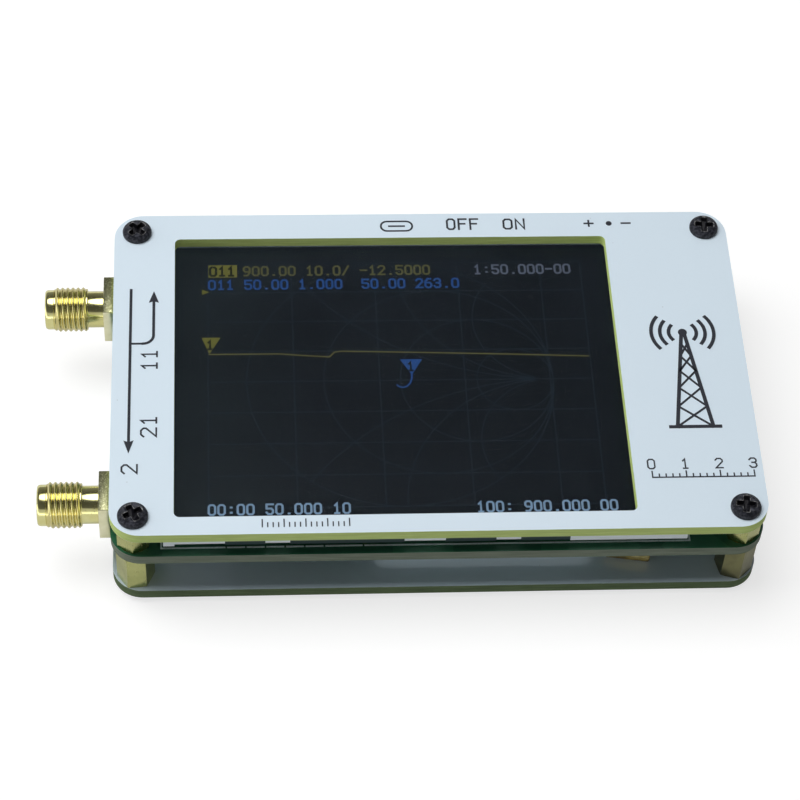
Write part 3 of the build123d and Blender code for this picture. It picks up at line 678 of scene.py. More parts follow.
def ribbon(points, width, z_low, z_high, closed=False):
    """A flat stroke: the path offset to both sides with mitred corners, with a rectangular section."""
    path = np.array(points, float)
    if closed:
        before, after = path - np.roll(path, 1, 0), np.roll(path, -1, 0) - path
    else:
        ends = unit(np.diff(path, axis=0))
        path[0] -= ends[0] * width / 2
        path[-1] += ends[-1] * width / 2
        steps = np.diff(path, axis=0)
        before, after = np.vstack([steps[:1], steps]), np.vstack([steps, steps[-1:]])
    before, after = unit(before), unit(after)
    middle = unit(before + after)
    reach = width / 2 / np.maximum((middle * after).sum(1), mitre_limit)
    side = np.stack([-middle[:, 1], middle[:, 0]], -1) * reach[:, None]
    left, right = path + side, path - side
    return np.stack([lift(left, z_low), lift(right, z_low), lift(right, z_high), lift(left, z_high)], 1)


class Print:
    """Printing on one level: strokes and filled shapes, each a hair above the last."""

    def __init__(self, level, direction=1):
        self.skin = Skin()
        self.level = level
        self.direction = direction
        self.strokes = 0

    def span(self):
        """Lower and upper level of the next stroke."""
        self.strokes += 1
        top = self.level + self.direction * (ink_height + stroke_lift * (self.strokes % stroke_lifts))
        return self.level - self.direction * ink_sunk, top

    def line(self, points, width, closed=False):
        """One stroke."""
        self.skin.stack(ribbon(points, width, *self.span(), closed), loop=closed)

    def fill(self, outline):
        """A filled outline."""
        self.skin.stack([lift(np.array(outline), z) for z in self.span()])

    def arc(self, x, y, radius, start, end, width, count=24):
        """A stroke along an arc, in degrees; a whole turn is closed."""
        whole = abs(end - start) >= 360
        angle = np.radians(np.linspace(start, end, count, endpoint=not whole))
        self.line(around(angle) * radius + (x, y), width, closed=whole)

    def divisions(self, x, y, count, pitch, every, tall, short, width):
        """Marks in a row along X: the first is tall, and then one after every so many."""
        for step in range(count):
            mark_x = x + pitch * step
            self.line([(mark_x, y), (mark_x, y + (short if step % every else tall))], width)

    def text(self, words, x, y, height, width, stroke, turn=0.0, gap=0.45, mirror=False):
        """Plotter lettering from a lower left corner; height and width are one glyph's, turn in degrees."""
        a = radians(turn)
        along, up = np.array([cos(a), sin(a)]), np.array([-sin(a), cos(a)])
        if mirror:
            along = -along
        pen = 0.0
        for sign in words:
            for line in glyphs[sign]:
                spots = np.array(line, float) / (4, 6) * (width, height)
                place = np.outer(spots[:, 0] + pen, along) + np.outer(spots[:, 1], up) + (x, y)
                closed = line[0] == line[-1]
                self.line(place[:-1] if closed else place, stroke, closed)
            pen += width * (1 + gap)

    def make(self, name, slot, finish):
        """The finished print."""
        self.skin.make(name, slot, [finish])


# Plotter glyphs on a grid 4 wide and 6 high, as polylines
oval = [[(1, 0), (0, 1), (0, 5), (1, 6), (3, 6), (4, 5), (4, 1), (3, 0), (1, 0)]]
glyphs = {
    "0": oval,
    "1": [[(0.8, 4.8), (2, 6), (2, 0)], [(0.8, 0), (3.2, 0)]],
    "2": [[(0, 5), (1, 6), (3, 6), (4, 5), (4, 4), (0, 0), (4, 0)]],
    "3": [[(0, 5), (1, 6), (3, 6), (4, 5), (4, 4), (3, 3.2), (1.5, 3.2)],
          [(3, 3.2), (4, 2.2), (4, 1), (3, 0), (1, 0), (0, 1)]],
    "5": [[(4, 6), (0, 6), (0, 3.4), (3, 3.4), (4, 2.4), (4, 1), (3, 0), (1, 0), (0, 1)]],
    "6": [[(3.5, 6), (1.5, 6), (0, 4), (0, 1), (1, 0), (3, 0), (4, 1), (4, 2.4), (3, 3.4), (0.4, 3.4)]],
    "9": [[(0.5, 0), (2.5, 0), (4, 2), (4, 5), (3, 6), (1, 6), (0, 5), (0, 3.6), (1, 2.6), (3.6, 2.6)]],
    "O": oval,
    "F": [[(4, 6), (0, 6), (0, 0)], [(0, 3.2), (3.2, 3.2)]],
    "N": [[(0, 0), (0, 6), (4, 0), (4, 6)]],
    "+": [[(0.2, 3), (3.8, 3)], [(2, 1.3), (2, 4.7)]],
    "-": [[(0.2, 3), (3.8, 3)]],
    ".": [[(1.8, 0.2), (2.2, 0.2)]],
    ":": [[(1.8, 1.2), (2.2, 1.2)], [(1.8, 4.4), (2.2, 4.4)]],
    "/": [[(0.2, 0), (3.8, 6)]],
    " ": [],
}


def make_panel_print():
    """All black printing on the front panel."""
    ink = Print(panel_top)
    make_arrow_print(ink)
    # Numbers by the ports, read from the right-hand side
    for words, x, y in (("11", -36.75, -0.2), ("21", -36.75, -11.3), ("2", -39.2, -17.2)):
        ink.text(words, x, y, 2.0, 1.35, 0.24, turn=90)
    # Rear-edge labels
    label_y = 24.1
    ink.text("OFF", 3.55, label_y, 1.85, 1.05, 0.27, gap=0.55)
    ink.text("ON", 11.5, label_y, 1.75, 1.15, 0.27, gap=0.50)
    ink.text("+", 22.85, label_y, 1.75, 1.3, 0.26)
    ink.text("-", 28.1, label_y, 1.75, 1.3, 0.26)
    ink.fill(circle(0.42, 16) + (26.35, 24.95))
    # A socket sign: the oblong mouth and its tongue
    mouth_x, mouth_y, tongue, stroke = -3.55, 24.75, 2.1, 0.26
    ink.line(rounded_rectangle(4.4, 1.75, 0.85) + (mouth_x, mouth_y), stroke, closed=True)
    ink.line([(mouth_x - tongue / 2, mouth_y), (mouth_x + tongue / 2, mouth_y)], stroke)
    # A row of fine division marks near the front edge
    ink.divisions(-23.1, -25.9, 17, 0.7, 4, 1.1, 0.6, 0.16)
    make_mast_print(ink)
    make_scale_print(ink)
    ink.make("panel_print", "white_mask", "black_ink")


def make_arrow_print(ink):
    """Port arrows: a trunk from port 1 down to port 2, and a branch that returns to port 1."""
    trunk_x, branch_x, branch_y, bend, stroke = -40.35, -37.24, 4.25, 1.4, 0.38
    ink.line([(trunk_x, 13.6), (trunk_x, -12.4)], stroke)
    ink.fill([(trunk_x - 0.66, -11.9), (trunk_x, -12.2), (trunk_x + 0.66, -11.9), (trunk_x, -14.0)])
    ink.line([(trunk_x, branch_y), (branch_x - bend, branch_y)], 0.30)
    turn = np.radians(np.linspace(-90, 0, 9))
    curve = around(turn) * bend + (branch_x - bend, branch_y + bend)
    ink.line(np.vstack([curve, [(branch_x, 11.7)]]), stroke)
    ink.fill([(branch_x - 0.68, 11.35), (branch_x, 11.6), (branch_x + 0.68, 11.35), (branch_x, 13.35)])


def make_mast_print(ink):
    """A lattice mast with waves leaving its tip, in the place between the window and the right edge."""
    foot_y, tip_y = -10.8, 4.6
    middle_x, foot_half, tip_half = 34.6, 2.4, 0.25
    height = tip_y - foot_y
    post, lattice = 0.52, 0.30
    for side in (-1, 1):
        ink.line([(middle_x + side * foot_half, foot_y), (middle_x + side * tip_half, tip_y)], post)
    rungs = 6
    levels = foot_y + height * (1 - (1 - np.arange(rungs) / rungs) ** 1.35)
    reach = foot_half + (tip_half - foot_half) * (levels - foot_y) / height
    for step in range(rungs - 1):
        for side in (-1, 1):
            ink.line([(middle_x + side * reach[step], levels[step]),
                      (middle_x - side * reach[step + 1], levels[step + 1])], lattice)
    foot_reach = foot_half + 0.9
    ink.line([(middle_x - foot_reach, foot_y), (middle_x + foot_reach, foot_y)], post)
    wave_y = tip_y + 0.6
    ink.fill(circle(0.62, 20) + (middle_x, wave_y))
    for radius in (1.9, 3.1, 4.3):
        for aim in (0, 180):
            ink.arc(middle_x, wave_y, radius, aim - 38, aim + 38, 0.50)


def make_scale_print(ink):
    """A small division scale with numbers."""
    start_x, base_y, pitch, count, every = 28.0, -19.0, 0.9, 16, 5
    ink.line([(start_x, base_y), (start_x + (count - 1) * pitch, base_y)], 0.20)
    ink.divisions(start_x, base_y, count, pitch, every, 0.95, 0.5, 0.18)
    for step, sign in enumerate("0123"):
        ink.text(sign, start_x + every * pitch * step - 0.45, base_y + 1.4, 1.5, 0.9, 0.20)


def make_main_board_print():
    """White outline of the screen, broken along the front where it crosses a row of holes, and gold pads."""
    ink = Print(main_high[2])
    low, high = lcd_low - centre, lcd_high - centre
    left, right, front, rear = low[0] - 0.3, high[0] + 0.45, low[1] + 0.3, high[1] + 0.15
    hole_pitch, first_hole, gap, stroke = 2.54, left + 8.4, 0.21, 0.22
    starts = [first_hole + hole_pitch * step + gap for step in (0, 1, 2, 3, 4, 5, 7)]
    ends = [start - 2 * gap for start in starts] + [right]
    ink.line([(right, front), (right, rear), (left, rear), (left, front), (ends[0], front)], stroke)
    for start, end in zip(starts, ends[1:]):
        ink.line([(start, front), (end, front)], stroke)
    ink.make("main_board_print", "white_dielectric", "white_ink")
    for name, level, direction in (("upper_pads", main_high[2], 1), ("lower_pads", main_low[2], -1)):
        pads = Print(level, direction)
        for x, y in screw_places:
            pads.arc(x, y, 1.60, 0, 360, 1.0, 40)
        pads.make(name, "gold_plate", "copper_pad")


def make_back_print():
    """Plain printing on the outer face of the back panel, read from behind."""
    ink = Print(back_low[2], -1)
    ink.line(rounded_rectangle(58.0, 30.0, 2.0) + (2.0, -2.0), 0.22, closed=True)
    for words, y in (("1", 12.9), ("2", -20.0)):
        ink.text(words, -37.2, y, 2.2, 1.5, 0.26, mirror=True)
    for words, x in (("OFF", 7.6), ("ON", 14.6)):
        ink.text(words, x, 23.2, 1.75, 1.05, 0.25, gap=0.55, mirror=True)
    ink.divisions(-23.0, -14.8, 11, 5.0, 5, 2.6, 1.6, 0.2)
    ink.make("back_print", "white_mask", "black_ink")


# ---------------------------------------------------------------- screws and standoffs
side_inset, front_inset, rear_inset = 3.1, 2.7, 3.4
screw_places = [(side * (board_length / 2 - side_inset), y)
                for y in (front_edge + front_inset, rear_edge - rear_inset) for side in (-1, 1)]
# How far the recesses and the standoffs are turned, in degrees, and which lower standoff takes the darker
# brass of painted shade, counted in the order of the places
recess_turns = (28, -8, 45, -6)
upper_turns = (-64, -53, -38, -70)
lower_turns = (-85, -47, -58, -30)
shaded_standoff = 1
# The heads on the front sit this far to the rear of their shanks
head_lean = 0.25


def cross_reach(angle, span, arm):
    """Distance from the centre to the outline of a cross of two bars, in every direction.

    Each bar is a power curve: the tenth powers of its two shares add up to 1."""
    power, tiny = 10.0, 1e-6
    across, along = np.abs(np.cos(angle)), np.abs(np.sin(angle))
    flat = 1 / ((across / span) ** power + (along / arm) ** power + tiny) ** (1 / power)
    tall = 1 / ((along / span) ** power + (across / arm) ** power + tiny) ** (1 / power)
    return np.maximum(flat, tall)


def screw_rings(turn):
    """A pan head with a deep cross recess, and its shank: rings from the recess's floor outwards and down.

    In the recess each radius is a share of the cross's reach at that angle. The head's edge is part of a
    circle of radius shoulder, and the shank's radius swings between the thread's crest and root."""
    head, height, span, arm, depth = 2.0, 1.0, 1.34, 0.44, 1.15
    corner = np.arctan2(arm, span)
    fine = np.linspace(0, tau, 97)[:-1]
    edges = np.concatenate([quarter * pi / 2 + np.array([-corner, corner]) for quarter in range(4)])
    angle = np.unique(np.round(np.concatenate([fine, edges % tau, (edges + 0.015) % tau]), 4))
    wheel = around(angle)
    reach = cross_reach(angle, span, arm)
    rings = [lift(wheel * 0.02, height - depth)]
    for share, level in ((0.30, height - depth * 0.95), (0.80, height - depth * 0.62), (0.93, height - 0.16),
                         (0.97, height - 0.05), (1.09, height - 0.01)):
        rings.append(lift(wheel * (reach * share)[:, None], level))
    rim = len(rings) - 1
    crown, shoulder = 0.20, 0.50
    rings.append(lift(wheel * 1.42, height - 0.01))
    for a in np.linspace(0.25, pi / 2, 7):
        radius = head - shoulder + shoulder * sin(a)
        rings.append(lift(wheel * radius, height - crown - shoulder + shoulder * cos(a)))
    rings.append(lift(wheel * (head - 0.02), 0.03))
    rings.append(lift(wheel * (head - 0.06), 0.0))
    crest, root, pitch = 0.98, 0.82, 0.48
    for step in range(17):
        rings.append(lift(wheel * (root if step % 2 else crest), -0.02 - pitch / 2 * step))
    return turned(np.array(rings), turn), [(0, rim - 1, 1), (rim - 1, rim, 2)]


def make_screws():
    """Four screws on the front panel and four on the back."""
    front, back = Skin(), Skin()
    for (x, y), turn in zip(screw_places, recess_turns):
        rings, bands = screw_rings(turn)
        head = rings.copy()
        head[..., 1] += head_lean * (rings[..., 2] >= 0)
        front.stack(shift(head, x, y, panel_top), bands=bands)
        back.stack(shift(rings * (1, -1, -1), x, y, back_low[2]), bands=bands)
    finishes = ["black_steel", "shaded_recess", "rubbed_and_highlit_edge"]
    front.make("front_screw_set", "black_steel", finishes, ["front_screws"], smooth=40)
    back.make("back_screw_set", "black_steel", finishes, ["back_screws"], smooth=40)


def hex_rings(turn, z_low, z_high, across):
    """A hexagonal post: the hexagon's radius at each angle, cut at both ends by a cone."""
    chamfer, bore, inset = 0.10, 1.0, 0.08
    angle = np.radians(np.arange(0, 360, 5.0))
    flat = np.abs((np.degrees(angle) + 30) % 60 - 30)
    half, corner = across / 2, across / 2 / cos(radians(30))
    hexagon = half / np.cos(np.radians(flat))
    profile = [(bore, 0.0), (half - inset, 0.0)]
    for rise in (0.03, 0.06, chamfer):
        profile.append((np.minimum(hexagon, half + (corner - half) * rise / chamfer)[:, None], rise))
    ring = around(angle)
    rings = [lift(ring * radius, z_low + rise) for radius, rise in profile]
    rings += [lift(ring * radius, z_high - rise) for radius, rise in profile[::-1]]
    return turned(np.array(rings), turn)


def make_standoffs():
    """Brass hexagons between the boards; the upper ones go down through the main board as studs."""
    upper, lower = Skin(), Skin()
    stud = [(0.9, main_low[2] - 2.7), (1.0, main_low[2] - 2.6), (1.0, main_high[2] + 0.1)]
    for index, (x, y) in enumerate(screw_places):
        post = hex_rings(upper_turns[index], main_high[2] + 0.02, panel_low[2], 4.1)
        upper.stack(shift(post, x, y))
        upper.stack(shift(lathe(stud, 32), x, y))
        post = hex_rings(lower_turns[index], back_high[2], main_low[2] - 0.02, 4.3)
        # The shaded standoff takes the darker brass, as painted shade
        lower.stack(shift(post, x, y), mark=int(index == shaded_standoff))
    upper.make("upper_standoff_set", "brass", ["brass"], ["upper_standoffs"], smooth=25)
    lower.make("lower_standoff_set", "brass", ["brass", "shaded_brass"], ["lower_standoffs"], smooth=25)


# ---------------------------------------------------------------- coaxial jacks
jack_reach = 9.43333
flange_side, flange_depth = 6.35, 1.45
mouth_floor = jack_reach - 1.9
# Each port's number and the place of its axis along Y
port_axes = {1: rear_edge - rear_inset - 9.7, 2: -18.95}


def barrel_rings():
    """The round part of a jack along +Z from the flange: neck, helical thread, lip and mouth; and its band.

    The thread's radius is the root plus the squared sine of the place along the pitch, which moves on
    with the turn, faded in and out at both ends."""
    neck, lip, neck_radius, lip_radius = 2.2, 1.20, 2.5, 2.72
    pitch, root, crest, fade_length = 25.4 / 36, 2.80, 3.05, 0.35
    start, end = flange_depth + neck, jack_reach - lip
    count = 96
    angle = np.arange(count) * tau / count
    ring = around(angle)
    rings = [lift(ring * neck_radius, flange_depth - 0.1), lift(ring * neck_radius, start - 0.12),
             lift(ring * (neck_radius + 0.05), start)]
    first = len(rings)
    for z in np.linspace(start + 0.02, end - 0.02, 90):
        tooth = np.sin(pi * ((z - start) / pitch - angle / tau)) ** 2
        fade = np.clip((z - start) / fade_length, 0, 1) * np.clip((end - z) / fade_length, 0, 1)
        radius = root + (crest - root) * tooth * fade
        rings.append(lift(ring * radius[:, None], z))
    band = (first - 1, len(rings), 2)
    profile = [(lip_radius - 0.06, end), (lip_radius, end + 0.05), (lip_radius, jack_reach - 0.40),
               (lip_radius - 0.04, jack_reach - 0.22), (lip_radius - 0.11, jack_reach - 0.08),
               (lip_radius - 0.22, jack_reach), (2.42, jack_reach), (2.32, jack_reach - 0.1),
               (2.3, jack_reach - 0.2), (2.3, mouth_floor + 0.05), (2.25, mouth_floor),
               (2.07, mouth_floor), (2.07, mouth_floor - 0.4)]
    rings += [lift(ring * radius, z) for radius, z in profile]
    return np.array(rings), band


def insulator_rings():
    """White dielectric, level with the mouth's floor, with a ring round the contact."""
    return lathe([(2.06, 0.05), (2.06, mouth_floor - 0.05), (1.98, mouth_floor), (0.72, mouth_floor),
                  (0.68, mouth_floor - 0.06), (0.655, mouth_floor - 0.3), (0.655, 0.3)])


def contact_parts():
    """A gold socket whose two jaws leave a slot, and a round tail towards the board.

    A jaw's section lies between two half circles that stop short of each other by a gap."""
    count, gap, jaw = 24, 0.12, 2.8
    outer, inner, chamfer = 0.62, 0.45, 0.04
    parts = []
    for side in (0, 1):
        wheel = around(np.linspace(gap, pi - gap, count) + side * pi)
        ring = np.vstack([wheel * outer, wheel[::-1] * inner])
        inset = np.vstack([wheel * (outer - chamfer), wheel[::-1] * (inner + chamfer)])
        levels = mouth_floor - jaw, mouth_floor - 0.06, mouth_floor
        parts.append([lift(shape, z) for shape, z in zip((ring, ring, inset), levels)])
    parts.append(lathe([(outer, 0.0), (outer, mouth_floor - jaw)], 32))
    parts.append(lathe([(0.3, -1.9), (0.38, -1.8), (0.38, 0.0)], 24))
    return parts


def make_jack(number, axis_y):
    """One jack: gold shell with flange and legs, white insulator and centre contact."""
    seat = (left_edge, axis_y, main_high[2] + 0.38)
    shell, insulator, contact = Skin(), Skin(), Skin()
    flange = soft_block(flange_side, flange_side, 0.18, 0.0, flange_depth, 0.10)
    shell.stack(shift(to_left(flange), *seat), mark=1)
    barrel, thread = barrel_rings()
    shell.stack(shift(to_left(barrel), *seat), bands=[thread])
    leg_length, leg_width, leg_height = 4.3, 1.1, 1.0
    leg_y = flange_side / 2 - 0.3 - leg_width / 2
    for side in (-1, 1):
        for low in (main_high[2], main_low[2] - leg_height):
            leg = soft_block(leg_length, leg_width, 0.15, low, low + leg_height, 0.12)
            shell.stack(shift(leg, left_edge + leg_length / 2, axis_y + side * leg_y), mark=1)
    insulator.stack(shift(to_left(insulator_rings()), *seat))
    for part in contact_parts():
        contact.stack(shift(to_left(part), *seat))
    port = f"port_{number}_"
    shell.make(port + "shell", "gold_plate", ["gold_plate", "flange_gold", "shaded_thread_gold"], [port + "jack"],
               smooth=38)
    insulator.make(port + "dielectric", "white_dielectric", ["white_dielectric"], [port + "insulator"])
    contact.make(port + "pin", "gold_plate", ["gold_plate"], [port + "contact"])


def make_jacks():
    """The jacks of both ports."""
    for number, axis_y in port_axes.items():
        make_jack(number, axis_y)


# ---------------------------------------------------------------- screen
def spot(column, row):
    """A screen pixel's place on the boards."""
    return plot_left + column * pixel, plot_top - row * pixel


class Lit(Print):
    """Lit marks of one colour, placed by column and row, a little above the screen glass."""

    def __init__(self, rise):
        super().__init__(glass_high[2] + rise)

    def span(self):
        """Lit marks are thinner than ink."""
        self.strokes += 1
        return self.level, self.level + 0.004 + 0.0006 * (self.strokes % stroke_lifts)

    def stroke(self, spots, width=1.0, closed=False):
        """A stroke through screen pixels, width in pixels."""
        self.line([spot(*s) for s in spots], width * pixel, closed)

    def shape(self, spots):
        """A filled shape between screen pixels."""
        self.fill([spot(*s) for s in spots][::-1])

    def write(self, words, column, row, height=8.6, width=4.6, stroke=1.6):
        """A line of figures from its lower left corner; sizes in pixels."""
        self.text(words, *spot(column, row), height * pixel, width * pixel, stroke * pixel, gap=0.52)

    def make(self, name, finish):
        """The finished marks."""
        super().make(name, "screen_glass", finish)


def draw_chart(grid, x, y, size):
    """The round impedance chart, centre x, y and radius size in pixels.

    Resistance circles share the chart's right-hand point. A reactance arc of radius share * size is
    centred above or below that point, and runs from it to the chart's rim."""
    thin = 0.9
    turn = np.linspace(0, tau, 145)[:-1]
    for share in (1.0, 0.75, 0.5, 0.25):
        ring = around(turn) * share + (1 - share, 0)
        grid.stroke(ring * size + (x, y), thin, closed=True)
    for share in (0.5, 1.0, 2.0):
        square = share**2
        rim = np.arctan2(2 * share / (1 + square) - share, (1 - square) / (1 + square) - 1)
        arc = np.linspace(1.5 * pi - 0.12 / share, rim % tau, 40)
        curve = around(arc) * share + (1, share)
        for side in (-1, 1):
            grid.stroke(curve * (size, side * size) + (x, y), thin)
    grid.stroke([(x - size, y), (x + size, y)], thin)


def make_sheet(name, finish, node, low, high, corner, bevel):
    """A glass sheet from a box's low to its high corner, in place of a node."""
    length, width, _ = high - low
    block = soft_block(length, width, corner, low[2], high[2], bevel)
    Skin().stack(shift(block, *middle_of(low, high))).make(name, finish, [finish], [node])


def make_screen():
    """Screen glass, touch layer and everything that is lit between them."""
    touch_gap = (0, 0, 0.03)
    make_sheet("screen_cell", "screen_glass", "lcd_glass", glass_low, glass_high, 0.3, 0.05)
    make_sheet("touch_layer", "touch_glass", "touch_glass", touch_low + touch_gap, touch_high, 0.5, 0.08)

    grid = Lit(0.0)
    for row in range(0, plot_rows + 1, row_step):
        grid.stroke([(0, row), (plot_columns, row)])
    for column in [line * column_step for line in range(5)] + [plot_columns]:
        grid.stroke([(column, 0), (column, plot_rows)])
    draw_chart(grid, 145.0, 116.0, 116.0)
    grid.make("screen_grid", "lit_grid")

    trace = Lit(0.008)
    trace.stroke([(1, 89.2), (55, 89.4), (70, 91.0), (92, 92.8), (96, 88.2), (101, 87.4), (168, 89.6),
                  (230, 92.0), (290, 94.6)])
    trace.make("screen_trace", "lit_trace")

    yellow, olive, blue, pale, faint = (Lit(0.010) for _ in range(5))
    yellow.shape([(-4.8, 73.0), (9.6, 73.0), (1.1, 88.8)])
    yellow.shape([(-4.4, 25.4), (1.2, 28.0), (-4.4, 30.6)])
    yellow.shape([(0.6, 1.0), (22.8, 1.0), (22.8, 13.4), (0.6, 13.4)])
    yellow.make("screen_yellow", "lit_yellow")

    olive.write("900.00 10.0/ -12.5000", 28.0, 11.6)
    olive.make("screen_olive", "lit_olive")

    blue.write("011 50.00 1.000  50.00 263.0", 1.0, 25.2)
    blue.shape([(145.5, 96.0), (162.3, 96.0), (153.9, 110.8)])
    blue.stroke([(153.9, 109.0), (153.6, 114.5), (152.2, 118.8), (149.6, 121.8), (146.8, 122.8),
                 (144.2, 122.2), (142.3, 120.6)], 1.2)
    blue.make("screen_blue", "lit_blue")

    pale.write("00:00 50.000 10", 0.0, 237.3)
    pale.write("100: 900.000 00", 196.0, 237.8)
    pale.make("screen_pale", "lit_pale")

    faint.write("1:50.000-00", 208.0, 11.8)
    faint.make("screen_faint", "lit_faint")

    dark = Lit(0.018)
    dark.write("011", 1.9, 11.7, stroke=1.9)
    dark.write("1", -0.4, 84.2, 8.0, 3.9, 1.8)
    dark.write("1", 151.4, 106.8, 8.0, 3.9, 1.8)
    dark.make("screen_dark", "lit_off")


# The screen frame's white stretches above its rebate, along X from the module's centre
frame_whites = ((-32.6, -26.1), (-20.9, -17.7), (-2.9, 2.45), (9.05, 12.25))
lip_depth = 0.3
lip_setback = 0.10


def make_frame_lips():
    """Lips that hang a little way into the frame's rebate, just behind its long faces."""
    middle = middle_of(lcd_low, lcd_high)
    reach = (lcd_high[1] - lcd_low[1]) / 2 - lip_setback - lip_depth / 2
    lips = Skin()
    for start, end in frame_whites:
        for side in (-1, 1):
            lip = soft_block(end - start, lip_depth, 0.04, lcd_low[2] + 0.26, lcd_low[2] + 0.57, 0.03)
            lips.stack(shift(lip, middle[0] + (start + end) / 2, middle[1] + side * reach))
    lips.make("frame_lips", "screen_frame", ["screen_frame"])


# ---------------------------------------------------------------- cell and its wrapped board
def make_cell():
    """The pouch cell: a slab that bulges slightly, with creased long sides.

    Each ring is a rounded rectangle at a share of the height, drawn in by its inset. The sides then move
    by the product of a sine along and a cosine across the cell."""
    low, high = box_mm("cell")
    length, width, height = high - low
    rings = []
    for share, inset in ((0.0, 1.3), (0.04, 0.7), (0.12, 0.28), (0.25, 0.08), (0.45, 0.0), (0.62, 0.02),
                         (0.80, 0.14), (0.92, 0.5), (0.98, 1.0), (1.0, 1.6)):
        ring = rounded_rectangle(length - 2 * inset, width - 2 * inset, 2.0 - inset * 0.6, 7)
        rings.append(lift(ring, low[2] + share * height))
    rings = np.array(rings)
    crease = 0.05
    wave = crease * np.sin(rings[..., 0] * 1.3) * np.cos(rings[..., 1] * 0.9)
    rings[1:-1, :, 1] += np.where(rings[1:-1, :, 1] > 0, -crease, crease) + wave[1:-1]
    pouch = Skin().stack(shift(rings, *middle_of(low, high)))
    pouch.make("pouch_cell", "pouch", ["pouch"], ["cell"], smooth=60)


def make_guard():
    """The protection board wrapped in amber film: a turned block whose upper face and edges ripple.

    The ripple is the product of a sine along and a cosine across the block."""
    turn, length, width, rise, steps = 9.2, 6.0, 14.0, 0.05, 4
    low, high = box_mm("cell_guard_board")
    corner = low - centre + (0, length * sin(radians(turn)), 0)
    rings = soft_block(length - 0.02, width - 0.02, 0.3, 0.0, high[2] - low[2], 0.16, steps)
    wave = np.sin(rings[..., 0] * 2.1 + rings[..., 1] * 0.8) * np.cos(rings[..., 1] * 1.7)
    rings[steps:-1, :, 2] += rise * wave[steps:-1]
    rings = turned(shift(rings, length / 2, width / 2), -turn)
    block = Skin().stack(shift(rings, *corner))
    block.make("guard_wrap", "polyimide", ["polyimide"], ["cell_guard_board"], smooth=50)


# ---------------------------------------------------------------- finishes on carried-over nodes
def finish_nodes():
    """Give each carried-over node the finish of its record slot."""
    own = {"back_panel": "back_mask_shaded_edge"}
    for part in frame["record"]["subparts"]:
        node = frame["nodes"][part["node"]]
        finish = materials[own.get(part["node"], part["material_slot"])]
        if not node.material_slots:
            node.data.materials.append(finish)
        for place in node.material_slots:
            place.material = finish


# ---------------------------------------------------------------- floor, light and surroundings
# The floor, in metres and as strengths: the eye sees its full glow, and gloss a share that grows with
# the distance from the part
floor_reach = 3.0
floor_glow = 0.69
near, far = 0.08, 0.40
near_share, far_share = 0.42, 0.85


def make_floor():
    """A large pale floor that keeps the part's soft shadow; gloss sees it paler far off."""
    reach = floor_reach
    corners = [(-reach, -reach, 0), (reach, -reach, 0), (reach, reach, 0), (-reach, reach, 0)]
    mesh = bpy.data.meshes.new("floor")
    mesh.from_pydata(corners, [], [(0, 1, 2, 3)])
    floor = bpy.data.objects.new("floor", mesh)
    bpy.context.scene.collection.objects.link(floor)
    tree = new_material("floor_white")
    tone = tree.ramp(tree.noise(2.0, 3.0), (0.3, grey(0.39)), (0.7, grey(0.41)))
    bounced = tree.math("MAXIMUM", tree.ray("Glossy"), tree.ray("Transmission"))
    away = tree.add("ShaderNodeVectorMath", {0: tree.place()}, operation="LENGTH")["Value"]
    seen = tree.linear(bounced, tree.span(away, near, far, near_share, far_share), tree.ray("Camera"))
    tree.shade(
        Base_Color=tone, Roughness=0.9, Emission_Color=grey(1.0),
        Emission_Strength=tree.math("MULTIPLY", seen, floor_glow)
    )
    mesh.materials.append(materials["floor_white"])


# The bright band that gloss sees overhead: how far it leans to the rear, the angles from its middle
# where it starts and where it is full, and its strength
band_tilt = radians(12)
band_start, band_full = radians(21), radians(14)
band_strength = 4.0
# The pale card that gloss sees low in front, up to about 30 degrees: heights and strength
card_heights = (0.56, 0.47)
card_strength = 0.42
# The pale card low at the left, up to about 25 degrees
left_sides = (-0.45, -0.85)
left_heights = (0.45, 0.30)
left_strength = 0.6
# The whole sky's strength at its left and right
side_strengths = (1.6, 0.55)
# The front half of the sky, and the rear half as dull and as glossy surfaces see it: height and grey
front_greys = ((0.0, 1.0), (0.08, 0.63), (0.16, 0.24), (0.28, 0.055), (0.95, 0.035), (1.0, 0.16))
front_strength = 1.9
rear_greys = ((0.0, 0.42), (0.45, 0.34), (0.76, 0.07), (0.84, 0.08), (1.0, 0.30))
gloss_greys = ((0.0, 0.22), (0.45, 0.13), (0.76, 0.07), (0.84, 0.08), (1.0, 0.30))


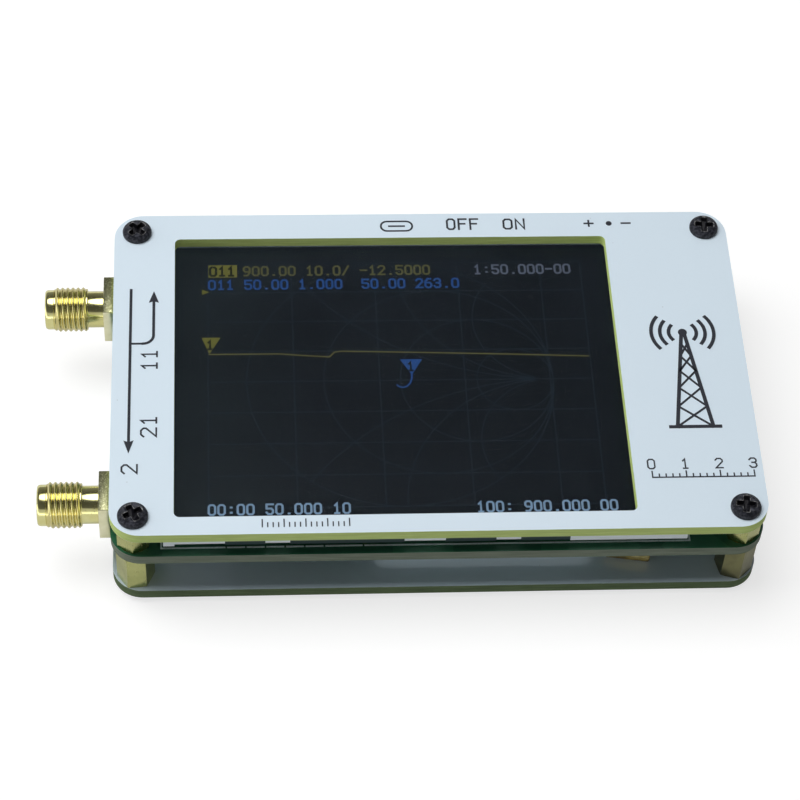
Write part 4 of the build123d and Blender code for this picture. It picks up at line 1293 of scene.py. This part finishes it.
def make_world():
    """White to the eye. The front sky is dim above the horizon's glow; gloss sees a bright band overhead."""
    world = bpy.data.worlds.new("studio")
    bpy.context.scene.world = world
    world.use_nodes = True
    background = world.node_tree.nodes["Background"]
    tree = Nodes(world.node_tree, background.inputs)
    x, y, z = tree.split(tree.place("Generated"))
    front, rear, dim = (tree.ramp(z, *[(height, grey(value)) for height, value in greys])
                        for greys in (front_greys, rear_greys, gloss_greys))
    rear = tree.mix(tree.ray("Glossy"), rear, dim)
    sky = tree.mix(tree.span(y, -0.05, 0.05), tree.scale(front, grey(front_strength)), rear)
    sky = tree.scale(sky, tree.span(x, -1.0, 1.0, *side_strengths))
    under = tree.span(z, *left_heights, 0.0, left_strength)
    sky = tree.colour_math("ADD", sky, tree.math("MULTIPLY", tree.span(x, *left_sides), under))
    tilt = tree.linear(z, cos(band_tilt), tree.math("MULTIPLY", y, sin(band_tilt)))
    band = tree.math("MULTIPLY", tree.span(tilt, cos(band_start), cos(band_full)), band_strength)
    card = tree.span(z, *card_heights, 0.0, card_strength)
    card = tree.math("MULTIPLY", card, tree.math("LESS_THAN", y, 0.0))
    glossy = tree.math("MULTIPLY", tree.math("ADD", band, card), tree.ray("Glossy"))
    lit = tree.colour_math("ADD", sky, glossy)
    tree.shade(Color=tree.mix(tree.ray("Camera"), lit, grey(1.0)), Strength=1.0)


# The lamp, in metres and watts
lamp_place = (-0.42, 0.16, 0.75)
lamp_size = (0.9, 0.55)
lamp_power = 7.2


def make_lamp():
    """One broad lamp that shines straight down from above, to the left and a little behind."""
    data = bpy.data.lights.new("key", "AREA")
    data.shape = "RECTANGLE"
    data.size, data.size_y = lamp_size
    data.energy = lamp_power
    lamp = bpy.data.objects.new("key", data)
    bpy.context.scene.collection.objects.link(lamp)
    lamp.matrix_world = Matrix.Translation(lamp_place)
    lamp.visible_glossy = False


make_camera()
make_materials()
finish_nodes()
make_panel_print()
make_main_board_print()
make_back_print()
make_screws()
make_standoffs()
make_jacks()
make_screen()
make_frame_lips()
make_cell()
make_guard()
make_floor()
make_world()
make_lamp()
bpy.context.scene.view_settings.view_transform = "Standard"
